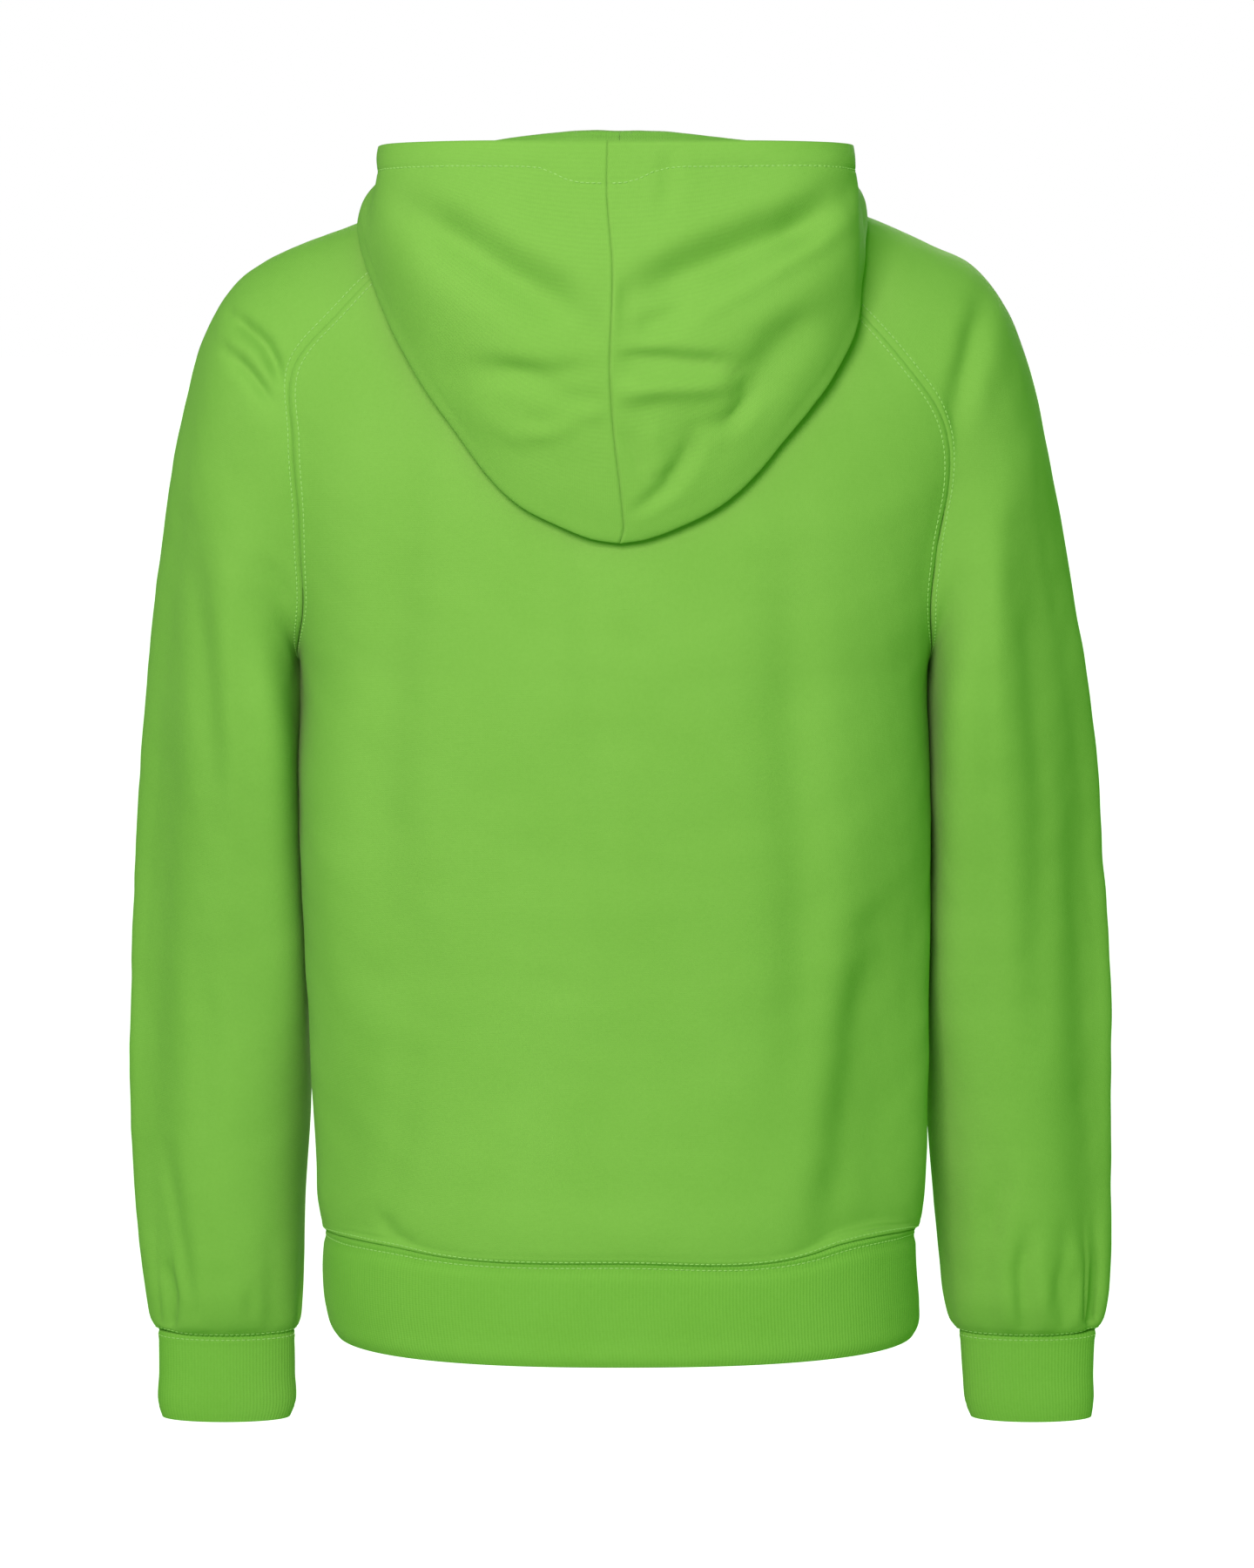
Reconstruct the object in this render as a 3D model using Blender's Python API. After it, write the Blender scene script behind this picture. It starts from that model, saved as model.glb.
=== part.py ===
"""A raglan pullover hoodie, filled out with no wearer, its hood lying down on the back.

Lengths in the tables are millimetres: x to the wearer's left, y to the back, z up, drop down. The origin is
the centre of the neck opening, level with the neck-shoulder points. Each piece is a grid of points on its
outer face, and add_wall gives it the cloth's thickness inwards.
"""

import bpy
import numpy as np

MM = 0.001
CLOTH = 2.2  # wall of the brushed sweat fabric
RIB = 2.6  # wall of the rib
SEAM_GAP = 0.3
DEEP_SEAM = 0.4  # faces that turn from a wall by more than this cosine don't slant its edge
SHARPEST_CORNER = 0.5  # keeps the gap from growing where a piece's edge turns sharply
HOOD_GAP = 0.3  # more room under the hood's base, where it meets three panels
ROUND = 2.4  # exponent of the torso's rounded sections
SIDE_Y = -4.0  # the side seams lie this far from the middle
GREEN = (0.19, 0.50, 0.065)
RIB_GREEN = (0.17, 0.47, 0.055)

RAGLAN_ROWS = 14
BODY_ROWS = 11
PANEL_COLUMNS = 22
ARM_ROWS = 15
ARM_HALF = 12  # columns over each half of a sleeve
CUFF_ROWS = 3
RIB_ROWS = 4
HOOD_COLUMNS = 20
HOOD_CROWDING = 1.5  # how much closer the hood's columns lie towards the centre back
HOOD_STEPS = (1, 2, 3, 3, 2, 2, 5, 5)  # rows between the control points of the hood's profile

UNDERARM_DROP = 288.0
HEM_SEAM_DROP = 645.0
HEM_DROP = 709.5
CUFF_SEAM_DROP = 722.5
CUFF_DROP = 779.0
NECK_DIP = {"back": 9.0, "front": 38.0}  # how far the neckline falls between the raglan seams

# Rows close together where the cloth tucks in over a rib, and where a rib turns at its lower edge.
HEM_TUCK_TOP = 620.0
HEM_TUCK_DROPS = (630, 636.5, 641, 643.5, HEM_SEAM_DROP)
RIB_TURN_DROP = 706.0
CUFF_TUCK = (2.12, 2.16, 2.19, 2.22, 2.245, 2.26)  # along the sleeve, as in the tables of the arms
CUFF_TURN_DROPS = (774.0, 777.5, CUFF_DROP)


def smooth_curve(knots, values, at):
    """A cubic curve through the values at their knots."""
    knots, values, at = (np.asarray(part, float) for part in (knots, values, at))
    slopes = np.gradient(values, knots, axis=0)
    low = np.clip(np.searchsorted(knots, at, "right") - 1, 0, len(knots) - 2)
    span = knots[low + 1] - knots[low]
    t = (at - knots[low]) / span
    if values.ndim > 1:
        span, t = span[..., None], t[..., None]
    start = values[low] * (1 + 2 * t) * (1 - t) ** 2 + slopes[low] * span * t * (1 - t) ** 2
    return start + values[low + 1] * t * t * (3 - 2 * t) + slopes[low + 1] * span * t * t * (t - 1)


def eased(share):
    """0 to 1 with level ends."""
    share = np.clip(share, 0, 1)
    return share * share * (3 - 2 * share)


def ramp(value, start, whole):
    """0 up to start, 1 from whole on, and eased between them."""
    return eased((value - start) / (whole - start))


class Table:
    """Rows with named columns, read between the rows along the first column."""

    def __init__(self, names, *rows):
        self.names = names.split()
        self.rows = np.array(rows, float)

    def column(self, name):
        return self.rows[:, self.names.index(name)]

    def at(self, place, *names):
        found = [smooth_curve(self.rows[:, 0], self.column(name), place) for name in names]
        return found[0] if len(found) == 1 else found


# The torso's sections: half width on each side, then how far the back and the front reach. Above the
# underarm the widths are those the section would have with no sleeves.
TORSO = Table(
    "drop left right back front",
    (0, 150, 150, 36, -30),
    (18, 183, 183, 58, -47),
    (40, 215, 215, 74, -68),
    (72, 236, 236, 90, -92),
    (110, 243, 243, 103, -107),
    (150, 238, 234, 111, -115),
    (200, 221, 216, 116, -121),
    (250, 205, 200, 118, -124),
    (288, 198, 190.5, 118, -125),
    (365, 198, 191, 114, -124),
    (474, 195, 192, 107, -120),
    (557, 192.5, 192, 106, -117),
    (600, 190, 191.5, 109, -116),
    (630, 188.5, 190, 111, -115.5),
    (639, 187, 188.5, 110, -114),
    (643.5, 185.5, 186.5, 108, -112),
    (645, 184.5, 185, 106.5, -110),
    (655, 185.8, 185.2, 106.5, -110),
    (672, 186.5, 186, 106, -109),
    (692, 184.8, 187.5, 105, -108),
    (706, 180.5, 186.5, 104.5, -107.5),
    (709.5, 178, 184.5, 103, -106),
)

# Each raglan: the back seam, the ridge over the shoulder and the front seam, from the neckline (0) to the
# underarm (1). The shoulder's own slope gives the ridge.
RAGLAN_LEFT = Table(
    "along back_x back_drop top_x top_y top_drop front_x front_drop",
    (0, 76, 8, 95, 3, 0, 74, 34),
    (0.13, 113, 28, 136, 2, 11.5, 99, 68),
    (0.25, 148, 51, 172, 0, 24.5, 122, 98),
    (0.34, 171, 75, 205, -2, 37, 140, 122),
    (0.45, 196, 106, 233, -4, 54, 159, 148),
    (0.57, 196, 149, 252, -7, 82, 176, 178),
    (0.76, 193, 220, 271, -12, 147, 191, 228),
    (0.90, 194.4, 264, 282, -16, 206, 195.8, 265),
    (0.95, 197.3, 277.5, 285.2, -18, 223, 197.9, 277.5),
    (1, 198, 288, 288, -20, 240, 198, 288),
)
RAGLAN_RIGHT = Table(
    "along back_x back_drop top_x top_y top_drop front_x front_drop",
    (0, 76, 8, 95, 3, 0, 74, 34),
    (0.17, 113, 42, 141, 2, 12, 99, 66),
    (0.33, 152, 81, 190, -1, 33, 126, 104),
    (0.44, 175, 108, 216, -3, 46.5, 144, 130),
    (0.57, 196.5, 145, 238, -6, 74, 164, 160),
    (0.67, 198, 178, 250, -9, 103, 178, 186),
    (0.80, 191, 221, 262, -13, 152, 188, 226),
    (0.91, 189.1, 261, 271.2, -16.6, 196, 190.4, 262),
    (0.96, 190.6, 277.5, 275.6, -18.5, 217, 191, 277.5),
    (1, 190.5, 288, 279, -20, 234, 190.5, 288),
)

# How a raglan arc leaves its seams: the share of its direction that turns to the back or the front, and the
# length of its handles against the chord. A handle at the shoulder's ridge is this share of the one at the seam.
ARC = Table(
    "along back_turn back_reach front_turn front_reach ridge",
    (0, 0.10, 0.36, 0.10, 0.36, 1),
    (0.25, 0.33, 0.36, 0.33, 0.36, 1),
    (0.45, 0.38, 0.38, 0.38, 0.40, 1),
    (0.57, 0.43, 0.42, 0.43, 0.46, 1),
    (0.76, 0.45, 0.51, 0.50, 0.635, 0.92),
    (0.84, 0.48, 0.595, 0.58, 0.765, 0.86),
    (0.90, 0.55, 0.625, 0.68, 0.90, 0.78),
    (0.95, 0.68, 0.775, 0.80, 1.12, 0.70),
    (0.975, 0.78, 0.872, 0.86, 1.24, 0.65),
    (1, 0.88, 1.045, 0.90, 1.39, 0.60),
)

# Each arm below the underarm: its inner and outer edge, its middle, how far its back and front reach, and
# the share by which it is fuller on its inner side than on its outer side.
ARM_LEFT = Table(
    "along in_x in_drop out_x out_drop mid_y back front inward",
    (1.10, 197.8, 318, 295, 290, -24, 75.5, 79, 0.32),
    (1.25, 197.6, 365, 299, 345, -32, 71, 74, 0.35),
    (1.45, 197, 430, 305, 418, -40, 60, 67, 0.32),
    (1.65, 195.5, 500, 309.3, 492, -46, 50, 58, 0.28),
    (1.85, 196.5, 577, 311.3, 575, -50, 46, 50, 0.22),
    (2.00, 200.5, 635, 309.5, 633, -52, 43, 45, 0.16),
    (2.12, 202, 678, 304.7, 677, -53, 40, 40, 0.1),
    (2.18, 203, 700, 302, 700, -53.5, 36, 36, 0.05),
    (2.22, 204.5, 715, 299.8, 715, -54, 29, 29, 0),
    (2.26, 208.5, 722.5, 295, 722.5, -54, 20, 20, 0),
)
ARM_RIGHT = Table(
    "along in_x in_drop out_x out_drop mid_y back front inward",
    (1.10, 190.6, 318, 289, 286, -24, 75.5, 79, 0.32),
    (1.25, 191.2, 365, 297.5, 345, -32, 71, 74, 0.35),
    (1.45, 193, 430, 304, 416, -40, 60, 67, 0.32),
    (1.65, 193.5, 500, 310, 492, -46, 50, 58, 0.28),
    (1.85, 194.5, 577, 312, 575, -50, 46, 50, 0.22),
    (2.00, 199.5, 635, 313.2, 633, -52, 43, 45, 0.16),
    (2.12, 204, 676, 313, 676, -53, 40, 40, 0.1),
    (2.18, 206.5, 700, 311.3, 700, -53.5, 36, 36, 0.05),
    (2.22, 210.5, 715, 309, 715, -54, 29, 29, 0),
    (2.26, 217, 722.5, 303.7, 722.5, -54, 20, 20, 0),
)
CUFF_LEFT = Table(
    "drop in_x out_x half_depth",
    (722.5, 208.5, 295, 20),
    (750, 208.5, 295.3, 19),
    (773, 209, 295.4, 19),
    (779, 211.5, 293.5, 18),
)
CUFF_RIGHT = Table(
    "drop in_x out_x half_depth",
    (722.5, 217, 303.7, 20),
    (750, 219, 302.8, 19),
    (773, 222, 302.8, 19),
    (779, 224.5, 302, 18),
)
CUFF_Y = -54.0

# The hood lying down, from the centre front (0) to the centre back (1) of the neckline: the opening edge,
# and behind the shoulders the crest where it falls over and the fold where it turns back up.
HOOD_EDGE = Table(
    "along x y z",
    (0, 0, -99, -52),
    (0.16, 43, -96, -15),
    (0.32, 80, -75, 17),
    (0.45, 106, -44, 22),
    (0.58, 130, -2, 23),
    (0.66, 140, 30, 25),
    (0.74, 144, 68, 26),
    (0.80, 136, 96, 27.5),
    (0.86, 112, 118, 28.5),
    (0.91, 82, 130, 29),
    (0.955, 45, 136, 29),
    (1, 0, 138, 29),
)
HOOD_FALL = Table(
    "along crest_x crest_y crest_z fold_x fold_y fold_z right_wider swell",
    (0.45, 99, -31, 14, 118, -36, 8, 0, 0),
    (0.58, 107, 4, 20, 148, 6, -9, -5, -1),
    (0.66, 106, 27, 22, 157, 37, -19, -9, -3),
    (0.74, 98, 48, 24, 155, 63, -34, -9, -3),
    (0.80, 86, 60, 26, 147, 82, -56, -3, 3.5),
    (0.86, 66, 68, 28.5, 131, 98.5, -91, 6, 11),
    (0.91, 43, 74, 31, 104, 111, -133, 5, 16),
    (0.955, 22, 78, 32.5, 60, 120.5, -184.5, 0, 18),
    (0.975, 12.4, 79, 32.8, 33, 122.5, -198.5, 0, 18.3),
    (0.99, 5, 79.8, 33, 13.5, 123.3, -205.2, 0, 18.6),
    (1, 0, 80, 33, 0, 123.5, -207, 0, 18.7),
)
HOOD_FALL_STARTS = 0.42
HOOD_FALL_WHOLE = 0.62
HOOD_FOLD_RADIUS = 7.0
HOOD_FOLD_HEIGHT = 11.9  # from the fold up to where its two sides are a whole fold apart
HOOD_STAND_SHARE = 0.55  # the collar's middle, from its base to its crest
HOOD_STAND_BULGE = 3.0
HOOD_INNER_BULGE = 2.0
HOOD_SPACING = 0.6  # exponent of the steps between a profile's control points
HOOD_REST = 2.5  # between the hood and the back panel
HOOD_REST_DROP = 22.0
HOOD_PLAIN_SHARES = (0, 0.12, 0.25, 0.38, 0.5, 0.58, 0.66, 0.83, 1)
HOOD_PLAIN_SWELL = 4.0
CENTRE_SEAM = Table(
    "drop x",
    (-29, 7),
    (0, 7.4),
    (41, 4.3),
    (112, 5.5),
    (142, 3.4),
    (173, -0.2),
    (200, -2.8),
)
CENTRE_SEAM_PULL = 90.0  # the seam's wander fades out this far to each side
CENTRE_SEAM_DEPTHS = (0.0, 60.0)  # and in the front

# The hem seam rises a little at the sides of the back, and not at all in front of these two depths.
HEM_RISE_DEPTHS = (-10.0, 40.0)
HEM_RISE = Table(
    "x rise",
    (-190, 3),
    (-165, 6),
    (-140, 5),
    (-120, 1),
    (0, 0),
    (115, 1),
    (140, 3),
    (190, 2),
)
HEM_RISE_REACH = 45.0

# The largest folds. Each is a soft trough along its points (x, z), seen from the back (+1) or the front (-1).
FOLDS = {
    "back": (
        ("drag to the right hem", 1, 5.0, 17, ((-157, -449), (-152, -487), (-139, -583), (-126, -640))),
        ("right side hang", 1, 2.5, 20, ((-100, -247), (-106, -378), (-115, -510))),
        ("left side hang", 1, 2.0, 20, ((137, -354), (127, -433), (117, -513))),
        ("tuck over the left hem", 1, 2.0, 7, ((153, -622), (139, -636), (126, -641))),
    ),
    "front": (
        ("drag to the left hem", -1, 4.0, 18, ((150, -460), (142, -560), (128, -630))),
        ("right side hang", -1, 3.0, 20, ((-118, -330), (-120, -430), (-112, -560))),
        ("across the chest", -1, 2.5, 16, ((-60, -150), (0, -172), (62, -148))),
    ),
    "sleeve_left": (
        ("shoulder break", 1, 3.5, 6, ((236, -74), (220, -85), (213, -92), (208, -101), (204, -112))),
        ("under the break", 1, 2.5, 7, ((236, -97), (224, -107), (216, -116), (208, -126))),
        ("down the upper arm", 1, 3.0, 12, ((268, -201), (255, -299), (247, -388))),
        ("front of the upper arm", -1, 3.5, 14, ((222, -230), (240, -320), (262, -400))),
        ("front of the elbow", -1, 3.0, 12, ((282, -430), (258, -452), (228, -468))),
    ),
    "sleeve_right": (
        ("shoulder break", 1, 4.0, 10, ((-218, -67), (-212, -92), (-206, -113), (-203, -130), (-202, -151))),
        ("down the whole arm", 1, 3.5, 14, ((-254, -201), (-263, -361), (-262, -524))),
        ("down to the cuff", 1, 2.0, 8, ((-245, -610), (-230, -663))),
        ("front of the upper arm", -1, 3.5, 14, ((-220, -235), (-236, -330), (-255, -410))),
        ("front of the elbow", -1, 3.0, 12, ((-278, -440), (-252, -455), (-224, -478))),
    ),
    "hood_left": (
        ("broad hollow", 1, 6.0, 14, ((128, -9), (86, -32), (70, -44), (44, -58), (20, -75))),
        ("low hollow", 1, 3.0, 9, ((80, -101), (54, -108), (35, -118), (14, -122))),
        ("lowest crease", 1, 3.0, 6, ((52, -140), (34, -134), (14, -128))),
    ),
    "hood_right": (
        ("long fold", 1, 7.0, 11, ((-4, -57), (-42, -40), (-83, -23), (-100, -18), (-114, -10), (-130, 2))),
        ("pocket under it", 1, 4.0, 10, ((-8, -80), (-26, -76), (-45, -66))),
        ("level hollow", 1, 3.5, 8, ((-8, -102), (-34, -104), (-64, -106))),
        ("hooked crease", 1, 4.0, 6, ((-72, -107), (-76, -122), (-69, -134), (-54, -135))),
        ("last crease", 1, 3.0, 6, ((-42, -130), (-43, -146), (-35, -162), (-20, -178))),
    ),
}
FOLD_FACING = (0.05, 0.45)  # a fold starts and is whole at these slants of the surface to its view
FOLD_SIDE_FADE = 0.09  # shares of a piece's width and length in which its folds fade out at its seams
FOLD_END_FADE = 0.05
FOLD_TIP_DEPTH = 0.35  # share of its depth that a fold has at its two ends
FOLD_TIP = 0.25  # share of its length in which it gets there
FOLD_RIDGE = 0.6  # the cloth beside a fold rises a little: a larger number makes it rise more
FOLD_SPREAD = 0.75

# The gathers where each sleeve is sewn into its cuff: their turn round the sleeve in degrees from its inner
# edge by way of the back, their half width in degrees and their depth.
GATHERS = {
    "sleeve_left": (
        (28, 9, 2.4),
        (62, 8, 1.8),
        (104, 9, 1.6),
        (146, 8, 2.4),
        (196, 10, 2.0),
        (248, 10, 2.2),
        (306, 11, 2.2),
    ),
    "sleeve_right": (
        (34, 9, 2.0),
        (72, 8, 2.2),
        (98, 7, 2.6),
        (128, 8, 1.8),
        (154, 7, 2.6),
        (205, 10, 2.0),
        (262, 10, 2.2),
        (318, 10, 2.0),
    ),
}
GATHER_DROPS = (630.0, 700.0)  # they start and are whole here
GATHER_SEAM = 9.0  # and fade out again in this distance to the seam
GATHER_BULGE = 0.35  # the cloth beside a gather stands out by this share of its depth
GATHER_BULGE_WIDTH = 2.2


def section_angle(x, drop):
    half = TORSO.at(drop, "left") if x >= 0 else TORSO.at(drop, "right")
    return np.arcsin(min(1.0, (abs(x) / half)) ** (ROUND / 2)) * (1 if x >= 0 else -1)


def torso_point(angle, drop, side):
    """A point of the torso's section, by its angle from the centre line of that side."""
    left, right, depth = TORSO.at(drop, "left", "right", side)
    half = np.where(angle >= 0, left, right)
    x = np.sign(angle) * half * np.abs(np.sin(angle)) ** (2 / ROUND)
    y = SIDE_Y + (depth - SIDE_Y) * np.abs(np.cos(angle)) ** (2 / ROUND)
    return np.stack([x, y, -np.asarray(drop, float) + 0 * x], axis=-1)


def seam_angle(raglan, sign, along, side):
    """The raglan seam's angle on the torso's section, read between the angles of its table's rows."""
    places = zip(raglan.column(side + "_x"), raglan.column(side + "_drop"))
    angles = [section_angle(sign * x, drop) for x, drop in places]
    return smooth_curve(raglan.column("along"), angles, along)


def seam_point(raglan, sign, along, side):
    drop = raglan.at(along, side + "_drop")
    return torso_point(seam_angle(raglan, sign, along, side), drop, side)


def panel_row(side, along, columns):
    """One row of a body panel between its two raglan seams, from the wearer's right to the left."""
    dip = NECK_DIP[side] * (1 - along) ** 3
    ends = []
    for raglan, sign in ((RAGLAN_RIGHT, -1), (RAGLAN_LEFT, 1)):
        ends.append((seam_angle(raglan, sign, along, side), raglan.at(along, side + "_drop")))
    (first, first_drop), (last, last_drop) = ends
    share = np.linspace(0, 1, columns + 1)
    angle = first + (last - first) * share
    drop = first_drop + (last_drop - first_drop) * share + dip * np.sin(np.pi * share) ** 2
    row = torso_point(angle, drop, side)
    row[0] = seam_point(RAGLAN_RIGHT, -1, along, side)
    row[-1] = seam_point(RAGLAN_LEFT, 1, along, side)
    return row


def body_drops(rows):
    """Row heights below the underarm, close together where the body tucks in over the rib."""
    plain = np.linspace(UNDERARM_DROP, HEM_TUCK_TOP, rows + 1)[1:]
    return np.concatenate([plain, HEM_TUCK_DROPS])


def hem_risen(points):
    """The hem seam's rise at the sides of the back, for the body and the rib alike."""
    ends = HEM_RISE.rows[[0, -1], 0]
    rise = HEM_RISE.at(np.clip(points[..., 0], *ends), "rise") * ramp(points[..., 1], *HEM_RISE_DEPTHS)
    near = 1 - np.abs(points[..., 2] + HEM_SEAM_DROP) / HEM_RISE_REACH
    points = points.copy()
    points[..., 2] += rise * eased(near)
    return points


def body_panel(side):
    rows = [panel_row(side, along, PANEL_COLUMNS) for along in np.linspace(0, 1, RAGLAN_ROWS + 1)]
    angle = np.linspace(-np.pi / 2, np.pi / 2, PANEL_COLUMNS + 1)
    rows += [torso_point(angle, drop, side) for drop in body_drops(BODY_ROWS)]
    grid = hem_risen(np.array(rows))
    return grid if side == "back" else grid[:, ::-1]


def hem_rib():
    drops = [HEM_SEAM_DROP, *np.linspace(HEM_SEAM_DROP, RIB_TURN_DROP, RIB_ROWS)[1:], HEM_DROP]
    angle = np.linspace(-np.pi / 2, np.pi / 2, PANEL_COLUMNS + 1)
    rows = []
    for drop in drops:
        back = torso_point(angle, drop, "back")
        front = torso_point(angle[::-1], drop, "front")
        rows.append(np.concatenate([back, front[1:-1]]))
    return hem_risen(np.array(rows))


CUBIC_REACH = 4 / 3  # a cubic with its handles this far out bulges by one


def arc_controls(raglan, sign, along):
    """The seven control points of a raglan arc: two cubic curves that meet on the shoulder's ridge."""
    back = seam_point(raglan, sign, along, "back")
    front = seam_point(raglan, sign, along, "front")
    x, y, drop = raglan.at(along, "top_x", "top_y", "top_drop")
    top = np.array([sign * x, y, -drop])
    back_turn, back_reach, front_turn, front_reach, ridge = ARC.at(along, *ARC.names[1:])
    handles = []
    for seam, turn, reach, out in ((back, back_turn, back_reach, 1), (front, front_turn, front_reach, -1)):
        chord = top - seam
        length = np.linalg.norm(chord)
        lead = (1 - turn) * chord / length + turn * np.array([0, out, 0])
        handles.append(seam + lead / np.linalg.norm(lead) * reach * length)
        handles.append(top + np.array([0, out, 0]) * reach * length * ridge)
    return np.array([back, handles[0], handles[1], top, handles[3], handles[2], front])


def ring_controls(arm, sign, along):
    """The same seven control points for a closed ring of the arm."""
    in_x, in_drop, out_x, out_drop, mid_y, back, front, inward = arm.at(along, *arm.names[1:])
    inner = np.array([sign * in_x, mid_y, -in_drop])
    outer = np.array([sign * out_x, mid_y, -out_drop])
    to_back = np.array([0, back * CUBIC_REACH, 0])
    to_front = np.array([0, -front * CUBIC_REACH, 0])
    more, less = 1 + inward, 1 - inward
    across_back = [inner, inner + to_back * more, outer + to_back * less, outer]
    return np.array([*across_back, outer + to_front * less, inner + to_front * more, inner])


def cubic(points, t):
    t = t[:, None]
    return (
        points[0] * (1 - t) ** 3
        + points[1] * 3 * t * (1 - t) ** 2
        + points[2] * 3 * t * t * (1 - t)
        + points[3] * t**3
    )


def arc(controls, half_columns):
    t = np.linspace(0, 1, half_columns + 1)
    return np.concatenate([cubic(controls[:4], t), cubic(controls[3:], t)[1:]])


def sleeve_grid(raglan, arm, sign):
    """Rows from the neckline to the cuff seam; columns from the back seam over the shoulder to the front."""
    upper = np.union1d(raglan.column("along"), ARC.column("along"))
    knots = np.concatenate([upper, arm.column("along")])
    stations = [arc_controls(raglan, sign, along) for along in upper]
    stations += [ring_controls(arm, sign, along) for along in arm.column("along")]
    stations = np.array(stations)
    lower = np.linspace(1, CUFF_TUCK[0], ARM_ROWS - 4)[1:]
    places = np.concatenate([np.linspace(0, 1, RAGLAN_ROWS + 1), lower, CUFF_TUCK[1:]])
    rows = []
    for along in places:
        controls = smooth_curve(knots, stations, along)
        if along > 1:
            controls[[0, 6]] = (controls[0] + controls[6]) / 2
        else:
            controls[[0, 6]] = [seam_point(raglan, sign, along, side) for side in ("back", "front")]
        rows.append(arc(controls, ARM_HALF))
    return np.array(rows)


def gathered(grid, name):
    """The sleeve drawn into its cuff: short troughs that start at the seam and fade out up the sleeve."""
    columns = grid.shape[1] - 1
    turn = np.linspace(0, 360, columns + 1)
    drop = -grid[..., 2]
    fade = ramp(drop, *GATHER_DROPS) * eased((CUFF_SEAM_DROP - drop) / GATHER_SEAM)
    middle = grid[:, :-1].mean(axis=1, keepdims=True)
    inward = middle - grid
    inward /= np.linalg.norm(inward, axis=-1, keepdims=True)
    depth = np.zeros(columns + 1)
    for centre, half_width, deep in GATHERS[name]:
        place = (turn - centre) / half_width
        depth += deep * np.exp(-(place**2))
        depth -= GATHER_BULGE * deep * np.exp(-((place / GATHER_BULGE_WIDTH) ** 2))
    return grid + inward * (depth * fade)[..., None]


def cuff_grid(cuff, sign):
    drops = [*np.linspace(CUFF_SEAM_DROP, CUFF_TURN_DROPS[0], CUFF_ROWS), *CUFF_TURN_DROPS[1:]]
    rows = []
    for drop in drops:
        in_x, out_x, half = cuff.at(drop, "in_x", "out_x", "half_depth")
        inner = np.array([sign * in_x, CUFF_Y, -drop])
        outer = np.array([sign * out_x, CUFF_Y, -drop])
        reach = np.array([0, half * CUBIC_REACH, 0])
        controls = [inner, inner + reach, outer + reach, outer, outer - reach, inner - reach, inner]
        rows.append(arc(np.array(controls), ARM_HALF))
    return np.array(rows)


def neckline(samples=24):
    """The left half of the neckline, front to back, as points and shares of its length."""
    front = panel_row("front", 0, 2 * samples)
    back = panel_row("back", 0, 2 * samples)
    shoulder = arc(arc_controls(RAGLAN_LEFT, 1, 0), samples)
    points = np.concatenate([front[samples:], shoulder[::-1][1:], back[::-1][1 : samples + 1]])
    steps = np.linalg.norm(np.diff(points, axis=0), axis=1)
    return points, np.concatenate([[0], np.cumsum(steps)]) / steps.sum()


def hood_controls(sign, along, base):
    """The nine control points of the hood's profile at one place of the neckline."""
    edge = np.array(HOOD_EDGE.at(along, "x", "y", "z"))
    out = edge - base
    shares = np.array(HOOD_PLAIN_SHARES)[:, None]
    across = np.array([edge[0], edge[1], 0.0]) / max(1.0, np.hypot(edge[0], edge[1]))
    plain = base + out * shares + HOOD_PLAIN_SWELL * np.sin(np.pi * shares) * across
    if along <= HOOD_FALL_STARTS:
        return plain
    place = max(along, HOOD_FALL.rows[0, 0])
    *crest_and_fold, wider, swell = HOOD_FALL.at(place, *HOOD_FALL.names[1:])
    crest, fold = np.array(crest_and_fold).reshape(2, 3)
    if sign < 0:
        fold[0] += wider
        edge[0] += wider / 2
    up = (crest + edge) / 2 - fold
    up /= np.linalg.norm(up)
    away = (edge - crest) - np.dot(edge - crest, up) * up
    away /= np.linalg.norm(away)
    turn_in = fold + HOOD_FOLD_HEIGHT * up - HOOD_FOLD_RADIUS * away
    turn_out = fold + HOOD_FOLD_HEIGHT * up + HOOD_FOLD_RADIUS * away
    stand = base + (crest - base) * HOOD_STAND_SHARE - HOOD_STAND_BULGE * away
    inner = (crest + turn_in) / 2 - HOOD_INNER_BULGE * away
    outer = (turn_out + edge) / 2 + swell * away
    fallen = np.array([base, stand, crest, inner, turn_in, fold, turn_out, outer, edge])
    weight = eased((along - HOOD_FALL_STARTS) / (HOOD_FALL_WHOLE - HOOD_FALL_STARTS))
    return plain * (1 - weight) + fallen * weight


def hood_grid(sign):
    """Rows from the neckline to the opening edge; columns from the centre front to the centre back."""
    points, shares = neckline()
    columns = []
    for along in 1 - np.linspace(1, 0, HOOD_COLUMNS + 1) ** HOOD_CROWDING:
        base = smooth_curve(shares, points, along) + np.array([0, 0, HOOD_GAP])
        controls = hood_controls(sign, along, base)
        lengths = np.linalg.norm(np.diff(controls, axis=0), axis=1)
        knots = np.concatenate([[0], np.cumsum(lengths**HOOD_SPACING)])
        places = [
            knots[i] + (knots[i + 1] - knots[i]) * step / steps
            for i, steps in enumerate(HOOD_STEPS)
            for step in range(steps)
        ]
        columns.append(smooth_curve(knots, controls, [*places, knots[-1]]))
    grid = np.array(columns).transpose(1, 0, 2)
    grid[:, 0, 0] = 0
    grid[:, -1, 0] = 0
    grid[..., 0] *= sign
    return resting_on_back(grid)


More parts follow.
